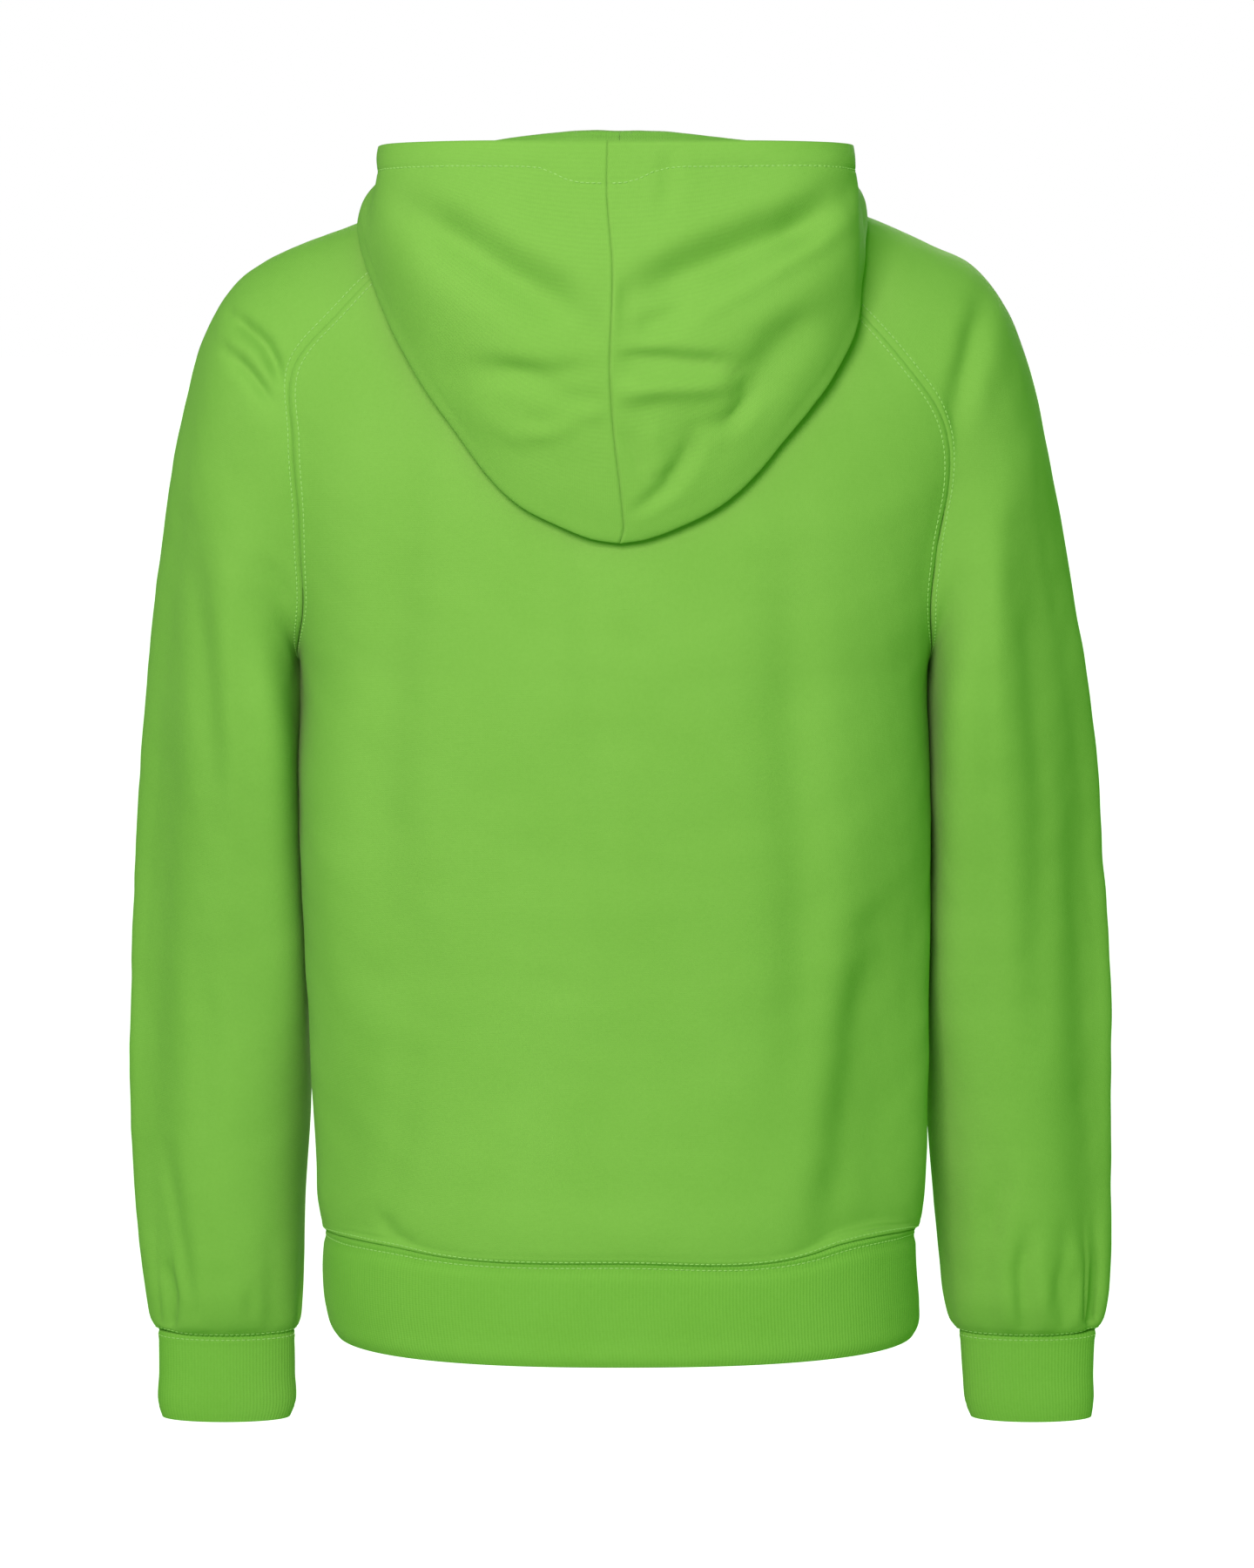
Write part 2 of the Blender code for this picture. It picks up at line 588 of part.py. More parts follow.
def resting_on_back(grid):
    """The hood kept just clear of the back it lies on."""
    x, drop = grid[..., 0], -grid[..., 2]
    left, right, back = TORSO.at(np.clip(drop, 0, HEM_SEAM_DROP), "left", "right", "back")
    half = np.where(x >= 0, left, right)
    reach = np.clip(1 - (np.abs(x) / half) ** ROUND, 0, 1) ** (1 / ROUND)
    least = SIDE_Y + (back - SIDE_Y) * reach + HOOD_REST
    behind = (drop > HOOD_REST_DROP) & (grid[..., 1] > 0)
    grid = grid.copy()
    grid[..., 1] = np.where(behind, np.maximum(grid[..., 1], least), grid[..., 1])
    return grid


def seam_wandered(grid):
    """The hood's centre seam wanders a little on the layer that lies outside."""
    rows = np.arange(len(grid))
    outer = ramp(rows, sum(HOOD_STEPS[:5]), sum(HOOD_STEPS[:6]))[:, None]
    ends = CENTRE_SEAM.rows[[0, -1], 0]
    lean = CENTRE_SEAM.at(np.clip(-grid[..., 2], *ends), "x")
    near = eased(1 - np.abs(grid[..., 0]) / CENTRE_SEAM_PULL) * ramp(grid[..., 1], *CENTRE_SEAM_DEPTHS)
    grid = grid.copy()
    grid[..., 0] += lean * near * outer
    return grid


def grid_normals(grid):
    normals = np.cross(np.gradient(grid, axis=1), np.gradient(grid, axis=0))
    return normals / np.maximum(np.linalg.norm(normals, axis=-1, keepdims=True), 1e-9)


def distance_to_line(places, line):
    """Each place's distance to a line of points, and how far along the line its nearest point is."""
    line = np.array(line, float)
    lengths = np.linalg.norm(np.diff(line, axis=0), axis=1)
    starts = np.concatenate([[0], np.cumsum(lengths)])
    best = np.full(places.shape[:-1], np.inf)
    along = np.zeros(places.shape[:-1])
    for i, length in enumerate(lengths):
        step = (line[i + 1] - line[i]) / length
        offset = places - line[i]
        reach = np.clip(offset @ step, 0, length)
        gap = np.linalg.norm(offset - reach[..., None] * step, axis=-1)
        closer = gap < best
        best = np.where(closer, gap, best)
        along = np.where(closer, (starts[i] + reach) / starts[-1], along)
    return best, along


def folded(grid, name, first_row=0):
    """The piece with its folds pressed in, fading out towards its seams and above first_row."""
    normals = grid_normals(grid)
    if name in ("sleeve_right", "hood_right"):
        normals = -normals
    rows, columns = grid.shape[:2]
    across = np.linspace(0, 1, columns)
    down = np.linspace(0, 1, rows)
    from_sides = eased(np.minimum(across, 1 - across) / FOLD_SIDE_FADE)
    from_ends = eased(np.minimum(down, 1 - down) / FOLD_END_FADE) * (np.arange(rows) >= first_row)
    fade = from_sides[None] * from_ends[:, None]
    push = np.zeros((rows, columns))
    for _, side, depth, half_width, line in FOLDS[name]:
        gap, along = distance_to_line(grid[..., (0, 2)], line)
        square = (gap / half_width) ** 2
        tips = FOLD_TIP_DEPTH + (1 - FOLD_TIP_DEPTH) * eased(np.minimum(along, 1 - along) / FOLD_TIP)
        facing = ramp(side * normals[..., 1], *FOLD_FACING)
        push += depth * (1 - FOLD_RIDGE * square) * np.exp(-FOLD_SPREAD * square) * tips * facing
    return grid - normals * (push * fade)[..., None]


class Piece:
    """A cloth piece as one grid of outer points, with the faces between them."""

    def __init__(self, name, grid, wall, colour, flip=False, closed_from=None):
        rows, columns = grid.shape[:2]
        index = np.arange(rows * columns).reshape(rows, columns)
        wrap = closed_from == "ring"
        if wrap:
            index = np.concatenate([index, index[:, :1]], axis=1)
        elif closed_from is not None:
            index[closed_from:, -1] = index[closed_from:, 0]
        used, compact = np.unique(index, return_inverse=True)
        index = compact.reshape(index.shape)
        self.points = grid.reshape(-1, 3)[used]
        quads = np.stack([index[:-1, :-1], index[:-1, 1:], index[1:, 1:], index[1:, :-1]], axis=-1)
        self.quads = quads.reshape(-1, 4)
        if flip:
            self.quads = self.quads[:, ::-1]
        self.name, self.wall, self.colour = name, wall, colour

    def face_normals(self):
        corners = self.points[self.quads]
        normals = np.cross(corners[:, 2] - corners[:, 0], corners[:, 3] - corners[:, 1])
        return normals / np.maximum(np.linalg.norm(normals, axis=1, keepdims=True), 1e-9)

    def open_edges(self):
        """Each edge that has one face, in that face's direction, with that face."""
        faces = {}
        for number, quad in enumerate(self.quads.tolist()):
            for start, end in zip(quad, quad[1:] + quad[:1]):
                if start != end:
                    faces[(start, end)] = number
        return [(a, b, number) for (a, b), number in faces.items() if (b, a) not in faces]


def shared_normals(pieces):
    """The normal at each place, averaged over all the faces that meet there in any piece."""
    sums = {}
    for piece in pieces:
        keys = [tuple(key) for key in np.round(piece.points, 2).tolist()]
        for quad, normal in zip(piece.quads.tolist(), piece.face_normals()):
            for corner in quad:
                sums.setdefault(keys[corner], []).append(normal)
    return sums


def add_object(name, points, faces, colour):
    mesh = bpy.data.meshes.new(name)
    mesh.from_pydata([tuple(point) for point in (points * MM).tolist()], [], faces)
    mesh.validate()
    mesh.shade_smooth()
    material = bpy.data.materials.new(name + "_cloth")
    material.use_nodes = True
    shader = material.node_tree.nodes["Principled BSDF"]
    shader.inputs["Base Color"].default_value = (*colour, 1)
    shader.inputs["Roughness"].default_value = 0.9
    shader.inputs["Metallic"].default_value = 0.0
    mesh.materials.append(material)
    bpy.context.scene.collection.objects.link(bpy.data.objects.new(name, mesh))


def add_wall(piece, sums):
    """The piece as a closed wall: its outer points, and as many moved in by the cloth's thickness."""
    count = len(piece.points)
    face_normals = piece.face_normals()
    own = np.zeros((count, 3))
    for corner in range(4):
        np.add.at(own, piece.quads[:, corner], face_normals)
    own /= np.linalg.norm(own, axis=1, keepdims=True)
    inward = np.zeros((count, 3))
    for number, key in enumerate(map(tuple, np.round(piece.points, 2).tolist())):
        normals = np.array(sums[key])
        mean = normals[normals @ own[number] > DEEP_SEAM].sum(axis=0)
        inward[number] = -mean / np.linalg.norm(mean) * piece.wall
    edges = piece.open_edges()
    retreat = np.zeros((count, 3))
    for a, b, number in edges:
        along = piece.points[b] - piece.points[a]
        outward = np.cross(along, face_normals[number])
        outward /= max(np.linalg.norm(outward), 1e-9)
        retreat[a] -= outward / 2
        retreat[b] -= outward / 2
    length = np.linalg.norm(retreat, axis=1, keepdims=True)
    retreat *= SEAM_GAP / 2 / np.maximum(length, SHARPEST_CORNER) ** 2
    outer = piece.points + retreat
    inner = outer + inward
    faces = []
    for a, b, c, d in piece.quads.tolist():
        for corners in ((a, b, c), (a, c, d)):
            if len(set(corners)) == 3:
                faces.append(corners)
                faces.append([corner + count for corner in corners[::-1]])
    for a, b, _ in edges:
        faces += [(b, a, a + count), (b, a + count, b + count)]
    add_object(piece.name, np.concatenate([outer, inner]), faces, piece.colour)


def pieces():
    yield Piece("back", folded(body_panel("back"), "back"), CLOTH, GREEN)
    yield Piece("front", folded(body_panel("front"), "front"), CLOTH, GREEN)
    for name, raglan, arm, cuff, sign in (
        ("left", RAGLAN_LEFT, ARM_LEFT, CUFF_LEFT, 1),
        ("right", RAGLAN_RIGHT, ARM_RIGHT, CUFF_RIGHT, -1),
    ):
        sleeve = "sleeve_" + name
        grid = gathered(folded(sleeve_grid(raglan, arm, sign), sleeve), sleeve)
        yield Piece(sleeve, grid, CLOTH, GREEN, flip=sign < 0, closed_from=RAGLAN_ROWS)
        yield Piece("cuff_" + name, cuff_grid(cuff, sign)[:, :-1], RIB, RIB_GREEN, sign < 0, "ring")
    yield Piece("hem_rib", hem_rib(), RIB, RIB_GREEN, closed_from="ring")
    for name, sign in (("hood_left", 1), ("hood_right", -1)):
        grid = seam_wandered(folded(hood_grid(sign), name, first_row=sum(HOOD_STEPS[:6])))
        yield Piece(name, grid, CLOTH, GREEN, flip=sign < 0)


def main():
    for old in list(bpy.data.objects):
        bpy.data.objects.remove(old)
    made = list(pieces())
    sums = shared_normals(made)
    for piece in made:
        add_wall(piece, sums)


main()
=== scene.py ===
"""Looks of the raglan pullover hoodie: each cloth piece again as a fine thin shell on its CAD form, with its
creases, seams, stitches and knit. Lengths are millimetres until a mesh is made, as in the part's source:
x to the wearer's left, y to the back, z up, drop down.
"""

import math

import bpy
import numpy as np
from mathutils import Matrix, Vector


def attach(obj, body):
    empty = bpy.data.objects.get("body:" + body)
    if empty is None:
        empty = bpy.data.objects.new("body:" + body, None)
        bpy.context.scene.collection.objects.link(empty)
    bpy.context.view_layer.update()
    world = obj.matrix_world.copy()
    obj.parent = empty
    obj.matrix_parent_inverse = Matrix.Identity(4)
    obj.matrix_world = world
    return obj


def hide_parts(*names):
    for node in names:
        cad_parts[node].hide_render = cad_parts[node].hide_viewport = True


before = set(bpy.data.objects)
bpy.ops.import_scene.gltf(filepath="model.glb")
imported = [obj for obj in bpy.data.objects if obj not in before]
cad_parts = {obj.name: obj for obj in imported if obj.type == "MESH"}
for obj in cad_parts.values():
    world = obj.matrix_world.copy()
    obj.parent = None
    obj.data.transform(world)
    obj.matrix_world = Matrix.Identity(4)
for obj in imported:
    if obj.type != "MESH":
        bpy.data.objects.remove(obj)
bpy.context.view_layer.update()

MM = 0.001
CLOTH = 2.2  # wall of the brushed sweat fabric
RIB = 2.6  # wall of the rib
ROUND = 2.4  # exponent of the torso's rounded sections
SIDE_Y = -4.0  # the side seams lie this far from the middle
UNDERARM_DROP = 288.0
HEM_SEAM_DROP = 645.0
HEM_DROP = 709.5
CUFF_SEAM_DROP = 722.5
CUFF_DROP = 779.0
NECK_DIP = {"back": 9.0, "front": 38.0}  # how far the neckline falls between the raglan seams


def smooth_curve(knots, values, at):
    """A cubic curve through the values at their knots."""
    knots, values, at = (np.asarray(part, float) for part in (knots, values, at))
    slopes = np.gradient(values, knots, axis=0)
    low = np.clip(np.searchsorted(knots, at, "right") - 1, 0, len(knots) - 2)
    span = knots[low + 1] - knots[low]
    t = (at - knots[low]) / span
    if values.ndim > 1:
        span, t = span[..., None], t[..., None]
    start = values[low] * (1 + 2 * t) * (1 - t) ** 2 + slopes[low] * span * t * (1 - t) ** 2
    return start + values[low + 1] * t * t * (3 - 2 * t) + slopes[low + 1] * span * t * t * (t - 1)


def eased(share):
    """0 to 1 with level ends."""
    share = np.clip(share, 0, 1)
    return share * share * (3 - 2 * share)


def ramp(value, start, whole):
    """0 up to start, 1 from whole on, and eased between them."""
    return eased((value - start) / (whole - start))


def unit(vectors):
    return vectors / np.maximum(np.linalg.norm(vectors, axis=-1, keepdims=True), 1e-9)


def run_lengths(grid, axis):
    """Lengths along a line of points, or along the rows or columns of a grid of them."""
    steps = np.linalg.norm(np.diff(grid, axis=axis), axis=-1)
    shape = list(steps.shape)
    shape[axis] = 1
    return np.concatenate([np.zeros(shape), np.cumsum(steps, axis=axis)], axis=axis)


class Table:
    """Rows with named columns, read between the rows along the first column."""

    def __init__(self, names, *rows):
        self.names = names.split()
        self.rows = np.array(rows, float)

    def column(self, name):
        return self.rows[:, self.names.index(name)]

    def at(self, place, *names):
        found = [smooth_curve(self.rows[:, 0], self.column(name), place) for name in names]
        return found[0] if len(found) == 1 else found


# The torso's sections: half width on each side, then how far the back and the front reach. Above the
# underarm the widths are those the section would have with no sleeves.
TORSO = Table(
    "drop left right back front",
    (0, 150, 150, 36, -30), (18, 183, 183, 58, -47), (40, 215, 215, 74, -68), (72, 236, 236, 90, -92),
    (110, 243, 243, 103, -107), (150, 238, 234, 111, -115), (200, 221, 216, 116, -121),
    (250, 205, 200, 118, -124), (288, 198, 190.5, 118, -125), (365, 198, 191, 114, -124),
    (474, 195, 192, 107, -120), (557, 192.5, 192, 106, -117), (600, 190, 191.5, 109, -116),
    (630, 188.5, 190, 111, -115.5), (639, 187, 188.5, 110, -114), (643.5, 185.5, 186.5, 108, -112),
    (645, 184.5, 185, 106.5, -110), (655, 185.8, 185.2, 106.5, -110), (672, 186.5, 186, 106, -109),
    (692, 184.8, 187.5, 105, -108), (706, 180.5, 186.5, 104.5, -107.5), (709.5, 178, 184.5, 103, -106),
)

# Each raglan: the back seam, the ridge over the shoulder and the front seam, from the neckline (0) to the
# underarm (1). The shoulder's own slope gives the ridge.
RAGLAN_LEFT = Table(
    "along back_x back_drop top_x top_y top_drop front_x front_drop",
    (0, 76, 8, 95, 3, 0, 74, 34), (0.13, 113, 28, 136, 2, 11.5, 99, 68),
    (0.25, 148, 51, 172, 0, 24.5, 122, 98), (0.34, 171, 75, 205, -2, 37, 140, 122),
    (0.45, 196, 106, 233, -4, 54, 159, 148), (0.57, 196, 149, 252, -7, 82, 176, 178),
    (0.76, 193, 220, 271, -12, 147, 191, 228), (0.90, 194.4, 264, 282, -16, 206, 195.8, 265),
    (0.95, 197.3, 277.5, 285.2, -18, 223, 197.9, 277.5), (1, 198, 288, 288, -20, 240, 198, 288),
)
RAGLAN_RIGHT = Table(
    "along back_x back_drop top_x top_y top_drop front_x front_drop",
    (0, 76, 8, 95, 3, 0, 74, 34), (0.17, 113, 42, 141, 2, 12, 99, 66),
    (0.33, 152, 81, 190, -1, 33, 126, 104), (0.44, 175, 108, 216, -3, 46.5, 144, 130),
    (0.57, 196.5, 145, 238, -6, 74, 164, 160), (0.67, 198, 178, 250, -9, 103, 178, 186),
    (0.80, 191, 221, 262, -13, 152, 188, 226), (0.91, 189.1, 261, 271.2, -16.6, 196, 190.4, 262),
    (0.96, 190.6, 277.5, 275.6, -18.5, 217, 191, 277.5), (1, 190.5, 288, 279, -20, 234, 190.5, 288),
)

# How a raglan arc leaves its seams: the share of its direction that turns to the back or the front, and the
# length of its handles against the chord. The last column is a handle's length at the shoulder's ridge, as a
# share of its length at the seam.
ARC = Table(
    "along back_turn back_reach front_turn front_reach ridge",
    (0, 0.10, 0.36, 0.10, 0.36, 1), (0.25, 0.33, 0.36, 0.33, 0.36, 1), (0.45, 0.38, 0.38, 0.38, 0.40, 1),
    (0.57, 0.43, 0.42, 0.43, 0.46, 1), (0.76, 0.45, 0.51, 0.50, 0.635, 0.92),
    (0.84, 0.48, 0.595, 0.58, 0.765, 0.86), (0.90, 0.55, 0.625, 0.68, 0.90, 0.78),
    (0.95, 0.68, 0.775, 0.80, 1.12, 0.70), (0.975, 0.78, 0.872, 0.86, 1.24, 0.65),
    (1, 0.88, 1.045, 0.90, 1.39, 0.60),
)

# The arms below the underarm: the left one's inner and outer edge, the right one's, and for both the middle,
# how far back and front reach, and the share by which the inner side is fuller than the outer side.
ARM = Table(
    "along left_in_x left_in_drop left_out_x left_out_drop"
    " right_in_x right_in_drop right_out_x right_out_drop mid_y back front inward",
    (1.10, 197.8, 318, 295, 290, 190.6, 318, 289, 286, -24, 75.5, 79, 0.32),
    (1.25, 197.6, 365, 299, 345, 191.2, 365, 297.5, 345, -32, 71, 74, 0.35),
    (1.45, 197, 430, 305, 418, 193, 430, 304, 416, -40, 60, 67, 0.32),
    (1.65, 195.5, 500, 309.3, 492, 193.5, 500, 310, 492, -46, 50, 58, 0.28),
    (1.85, 196.5, 577, 311.3, 575, 194.5, 577, 312, 575, -50, 46, 50, 0.22),
    (2.00, 200.5, 635, 309.5, 633, 199.5, 635, 313.2, 633, -52, 43, 45, 0.16),
    (2.12, 202, 678, 304.7, 677, 204, 676, 313, 676, -53, 40, 40, 0.1),
    (2.18, 203, 700, 302, 700, 206.5, 700, 311.3, 700, -53.5, 36, 36, 0.05),
    (2.22, 204.5, 715, 299.8, 715, 210.5, 715, 309, 715, -54, 29, 29, 0),
    (2.26, 208.5, 722.5, 295, 722.5, 217, 722.5, 303.7, 722.5, -54, 20, 20, 0),
)
CUFF = Table(
    "drop left_in_x left_out_x right_in_x right_out_x half_depth",
    (722.5, 208.5, 295, 217, 303.7, 20), (750, 208.5, 295.3, 219, 302.8, 19),
    (773, 209, 295.4, 222, 302.8, 19), (779, 211.5, 293.5, 224.5, 302, 18),
)
CUFF_Y = -54.0

# The hood lying down, from the centre front (0) to the centre back (1) of the neckline: the opening edge,
# and behind the shoulders the crest where it falls over and the fold where it turns back up.
HOOD_EDGE = Table(
    "along x y z",
    (0, 0, -99, -52), (0.16, 43, -96, -15), (0.32, 80, -75, 17), (0.45, 106, -44, 22), (0.58, 130, -2, 23),
    (0.66, 140, 30, 25), (0.74, 144, 68, 26), (0.80, 136, 96, 27.5), (0.86, 112, 118, 28.5),
    (0.91, 82, 130, 29), (0.955, 45, 136, 29), (1, 0, 138, 29),
)
HOOD_FALL = Table(
    "along crest_x crest_y crest_z fold_x fold_y fold_z right_wider swell",
    (0.45, 99, -31, 14, 118, -36, 8, 0, 0), (0.58, 107, 4, 20, 148, 6, -9, -5, -1),
    (0.66, 106, 27, 22, 157, 37, -19, -9, -3), (0.74, 98, 48, 24, 155, 63, -34, -9, -3),
    (0.80, 86, 60, 26, 147, 82, -56, -3, 3.5), (0.86, 66, 68, 28.5, 131, 98.5, -91, 6, 11),
    (0.91, 43, 74, 31, 104, 111, -133, 5, 16), (0.955, 22, 78, 32.5, 60, 120.5, -184.5, 0, 18),
    (0.975, 12.4, 79, 32.8, 33, 122.5, -198.5, 0, 18.3), (0.99, 5, 79.8, 33, 13.5, 123.3, -205.2, 0, 18.6),
    (1, 0, 80, 33, 0, 123.5, -207, 0, 18.7),
)
HOOD_FALL_STARTS = 0.42
HOOD_FALL_WHOLE = 0.62
HOOD_FOLD_RADIUS = 7.0
HOOD_FOLD_HEIGHT = 11.9  # from the fold up to where its two sides are a whole fold apart
HOOD_STAND_SHARE = 0.55  # the collar's middle, from its base to its crest
HOOD_STAND_BULGE = 3.0
HOOD_INNER_BULGE = 2.0
HOOD_SPACING = 0.6  # exponent of the steps between a profile's control points
HOOD_REST = 2.5  # between the hood and the back panel
HOOD_REST_DROP = 22.0
HOOD_PLAIN_SHARES = (0, 0.12, 0.25, 0.38, 0.5, 0.58, 0.66, 0.83, 1)
HOOD_PLAIN_SWELL = 4.0
CENTRE_SEAM = Table("drop x", (-29, 7), (0, 7.4), (41, 4.3), (112, 5.5), (142, 3.4), (173, -0.2), (200, -2.8))
CENTRE_SEAM_PULL = 90.0  # the seam's wander fades out this far to each side
CENTRE_SEAM_DEPTHS = (0.0, 60.0)  # and in the front

# The hem seam rises a little at the sides of the back, and not at all in front of these two depths.
HEM_RISE_DEPTHS = (-10.0, 40.0)
HEM_RISE = Table("x rise", (-190, 3), (-165, 6), (-140, 5), (-120, 1), (0, 0), (115, 1), (140, 3), (190, 2))
HEM_RISE_REACH = 45.0

# Each piece's folds, the solid's own first and then creases too fine for it: the side a fold is seen from (1
# for the back, -1 for the front), its depth (below zero for a ridge), its half width and the points (x, drop)
# of its line.
SHOULDER_BREAK = ((236, 74), (220, 85), (213, 92), (208, 101), (204, 112))
SECOND_BREAK = ((236, 97), (224, 107), (216, 116), (208, 126))
LEFT_ARM = ((266, 90), (284, 200), (294, 320), (298, 440))
RIGHT_ARM = ((-258, 100), (-278, 200), (-292, 320), (-298, 440))
FOLDS = {
    "back": (
        (1, 5, 17, (-157, 449), (-152, 487), (-139, 583), (-126, 640)),
        (1, 2.5, 20, (-100, 247), (-106, 378), (-115, 510)),
        (1, 2, 20, (137, 354), (127, 433), (117, 513)), (1, 2, 7, (153, 622), (139, 636), (126, 641)),
        (1, 0.9, 10, (6, 255), (-14, 272)),
        (1, 4, 19, (120, 85), (130, 200), (138, 300), (146, 400), (148, 470)),
        (1, 1.6, 11, (22, 130), (24, 200), (18, 290), (8, 400), (2, 470)),
        (1, 1.6, 13, (128, 500), (134, 570), (150, 620)),
        (1, 6, 26, (-172, 400), (-170, 500), (-164, 583), (-150, 636)),
        (1, 1.7, 17, (-100, 180), (-108, 320), (-112, 440), (-104, 560)),
        (1, 1.3, 7, (26, 570), (8, 600), (-8, 622)), (1, 1, 6, (40, 585), (20, 612)),
    ),
    "front": (
        (-1, 4, 18, (150, 460), (142, 560), (128, 630)),
        (-1, 3, 20, (-118, 330), (-120, 430), (-112, 560)),
        (-1, 2.5, 16, (-60, 150), (0, 172), (62, 148)), (-1, 0.8, 9, (-30, 560), (-8, 600), (4, 622)),
        (-1, 1.2, 7, (38, 560), (16, 598), (0, 620)), (-1, 2.6, 18, (116, 150), (124, 250), (128, 360)),
        (-1, 2.2, 16, (-112, 150), (-116, 240), (-118, 330)),
        (-1, 1.4, 11, (-16, 230), (-6, 330), (-14, 430), (-4, 520)),
        (-1, 3.5, 24, (168, 420), (164, 500), (158, 583), (144, 636)),
    ),
    "sleeve_left": (
        (1, 3.5, 6, *SHOULDER_BREAK), (1, 2.5, 7, *SECOND_BREAK),
        (1, 3, 12, (268, 201), (255, 299), (247, 388)), (-1, 3.5, 14, (222, 230), (240, 320), (262, 400)),
        (-1, 3, 12, (282, 430), (258, 452), (228, 468)), (1, 1.4, 6, (214, 222), (206, 236), (200, 250)),
        (1, 2.4, 3.5, *SHOULDER_BREAK), (1, -1.8, 5, (242, 86), (224, 96), (214, 107), (207, 119)),
        (1, 2, 3.5, *SECOND_BREAK), (1, 5, 20, *LEFT_ARM, (300, 560), (296, 650)),
        (1, 1.8, 10, (262, 470), (256, 540), (262, 610)), (1, 2.6, 8, (290, 600), (278, 662), (272, 704)),
        (1, 2, 5, (292, 676), (284, 704)), (1, 1.6, 5, (234, 690), (233, 708)),
        (-1, 1.8, 8, (224, 70), (214, 98), (206, 128)), (-1, 4, 20, *LEFT_ARM, (296, 650)),
        (-1, 2.4, 8, (284, 610), (274, 664), (268, 704)), (-1, 1.8, 5, (238, 680), (242, 706)),
    ),
    "sleeve_right": (
        (1, 4, 10, (-218, 67), (-212, 92), (-206, 113), (-203, 130), (-202, 151)),
        (1, 3.5, 14, (-254, 201), (-263, 361), (-262, 524)), (1, 2, 8, (-245, 610), (-230, 663)),
        (-1, 3.5, 14, (-220, 235), (-236, 330), (-255, 410)),
        (-1, 3, 12, (-278, 440), (-252, 455), (-224, 478)),
        (1, 1.5, 8, (-222, 60), (-214, 90), (-206, 120)),
        (1, 5, 20, *RIGHT_ARM, (-300, 560), (-298, 650)), (1, 2, 9, (-238, 600), (-230, 650)),
        (1, 2.6, 7, (-258, 652), (-252, 680), (-258, 708)), (1, 2, 5, (-290, 676), (-287, 708)),
        (1, 1.6, 5, (-278, 676), (-276, 706)), (-1, 1.8, 8, (-222, 66), (-214, 94), (-208, 126)),
        (-1, 4, 20, *RIGHT_ARM, (-298, 650)), (-1, 2.4, 7, (-262, 650), (-256, 680), (-262, 708)),
        (-1, 1.8, 5, (-238, 682), (-241, 706)),
    ),
    "hood_left": (
        (1, 6, 14, (128, 9), (86, 32), (70, 44), (44, 58), (20, 75)),
        (1, 3, 9, (80, 101), (54, 108), (35, 118), (14, 122)),
        (1, 3, 6, (52, 140), (34, 134), (14, 128)), (1, 7, 20, (122, 16), (86, 40), (54, 60), (22, 82)),
        (1, 3, 8, (96, 108), (70, 106), (42, 106), (12, 104)),
        (1, -1.8, 12, (92, 124), (76, 133), (54, 141)),
        (1, -3.6, 6, (60, 144), (40, 138), (22, 130), (6, 127)),
    ),
    "hood_right": (
        (1, 7, 11, (-4, 57), (-42, 40), (-83, 23), (-100, 18), (-114, 10), (-130, -2)),
        (1, 4, 10, (-8, 80), (-26, 76), (-45, 66)), (1, 3.5, 8, (-8, 102), (-34, 104), (-64, 106)),
        (1, 4, 6, (-72, 107), (-76, 122), (-69, 134), (-54, 135)),
        (1, 3, 6, (-42, 130), (-43, 146), (-35, 162), (-20, 178)),
        (1, 5, 10, (-4, 66), (-42, 50), (-83, 33), (-112, 22), (-134, 8)),
        (1, 6, 20, (-4, 72), (-42, 60), (-83, 43), (-110, 28), (-136, 12)),
        (1, -2.4, 8, (-22, 86), (-48, 70), (-80, 53), (-118, 29), (-142, 8)),
        (1, 3.4, 5, (4, 97), (-26, 96), (-52, 99), (-68, 105)),
        (1, -5, 8, (6, 118), (-26, 113), (-54, 112), (-70, 114)),
        (1, 6, 15, (-120, 72), (-97, 89), (-82, 110), (-75, 130)),
        (1, 2.6, 5, (-30, -28), (-29, -8), (-27, 12)), (1, -2.2, 6, (-20, 134), (-22, 152), (-22, 168)),
        (1, 2.2, 4, (-2, 138), (-9, 152), (-15, 166)),
        (1, 2, 5, (-45, 136), (-41, 154), (-31, 173), (-15, 184), (-4, 189)),
    ),
}
FOLD_FACING = (0.05, 0.45)  # a fold starts and is whole at these slants of the surface to its view
FOLD_TIP_DEPTH = 0.35  # share of its depth that a fold has at its two ends
FOLD_TIP = 0.25  # share of its length in which it gets there
FOLD_SEAM = 9.0  # a fold fades out in this distance to a seam
FOLD_RIDGE = 0.6  # the cloth beside a fold rises a little: a larger number makes it rise more
FOLD_SPREAD = 0.75

# The gathers where each sleeve is sewn into its cuff: their turn round the sleeve in degrees from its inner
# edge by way of the back, their half width in degrees and their depth.
GATHERS = {
    "sleeve_left": (
        (28, 9, 2.4), (62, 8, 1.8), (104, 9, 1.6), (146, 8, 2.4),
        (196, 10, 2.0), (248, 10, 2.2), (306, 11, 2.2),
    ),
    "sleeve_right": (
        (34, 9, 2.0), (72, 8, 2.2), (98, 7, 2.6), (128, 8, 1.8),
        (154, 7, 2.6), (205, 10, 2.0), (262, 10, 2.2), (318, 10, 2.0),
    ),
}
GATHER_DROPS = (630.0, 700.0)  # they start and are whole here
GATHER_SEAM = 9.0  # and fade out again in this distance to the seam
GATHER_BULGE = 0.35  # the cloth beside a gather stands out by this share of its depth
GATHER_BULGE_WIDTH = 2.2

SEAM_STEPS = (0, 0.7, 1.4, 2.1, 2.8, 3.6, 4.4, 5.2, 6.2, 7.5, 9.5)  # rows beside a seam


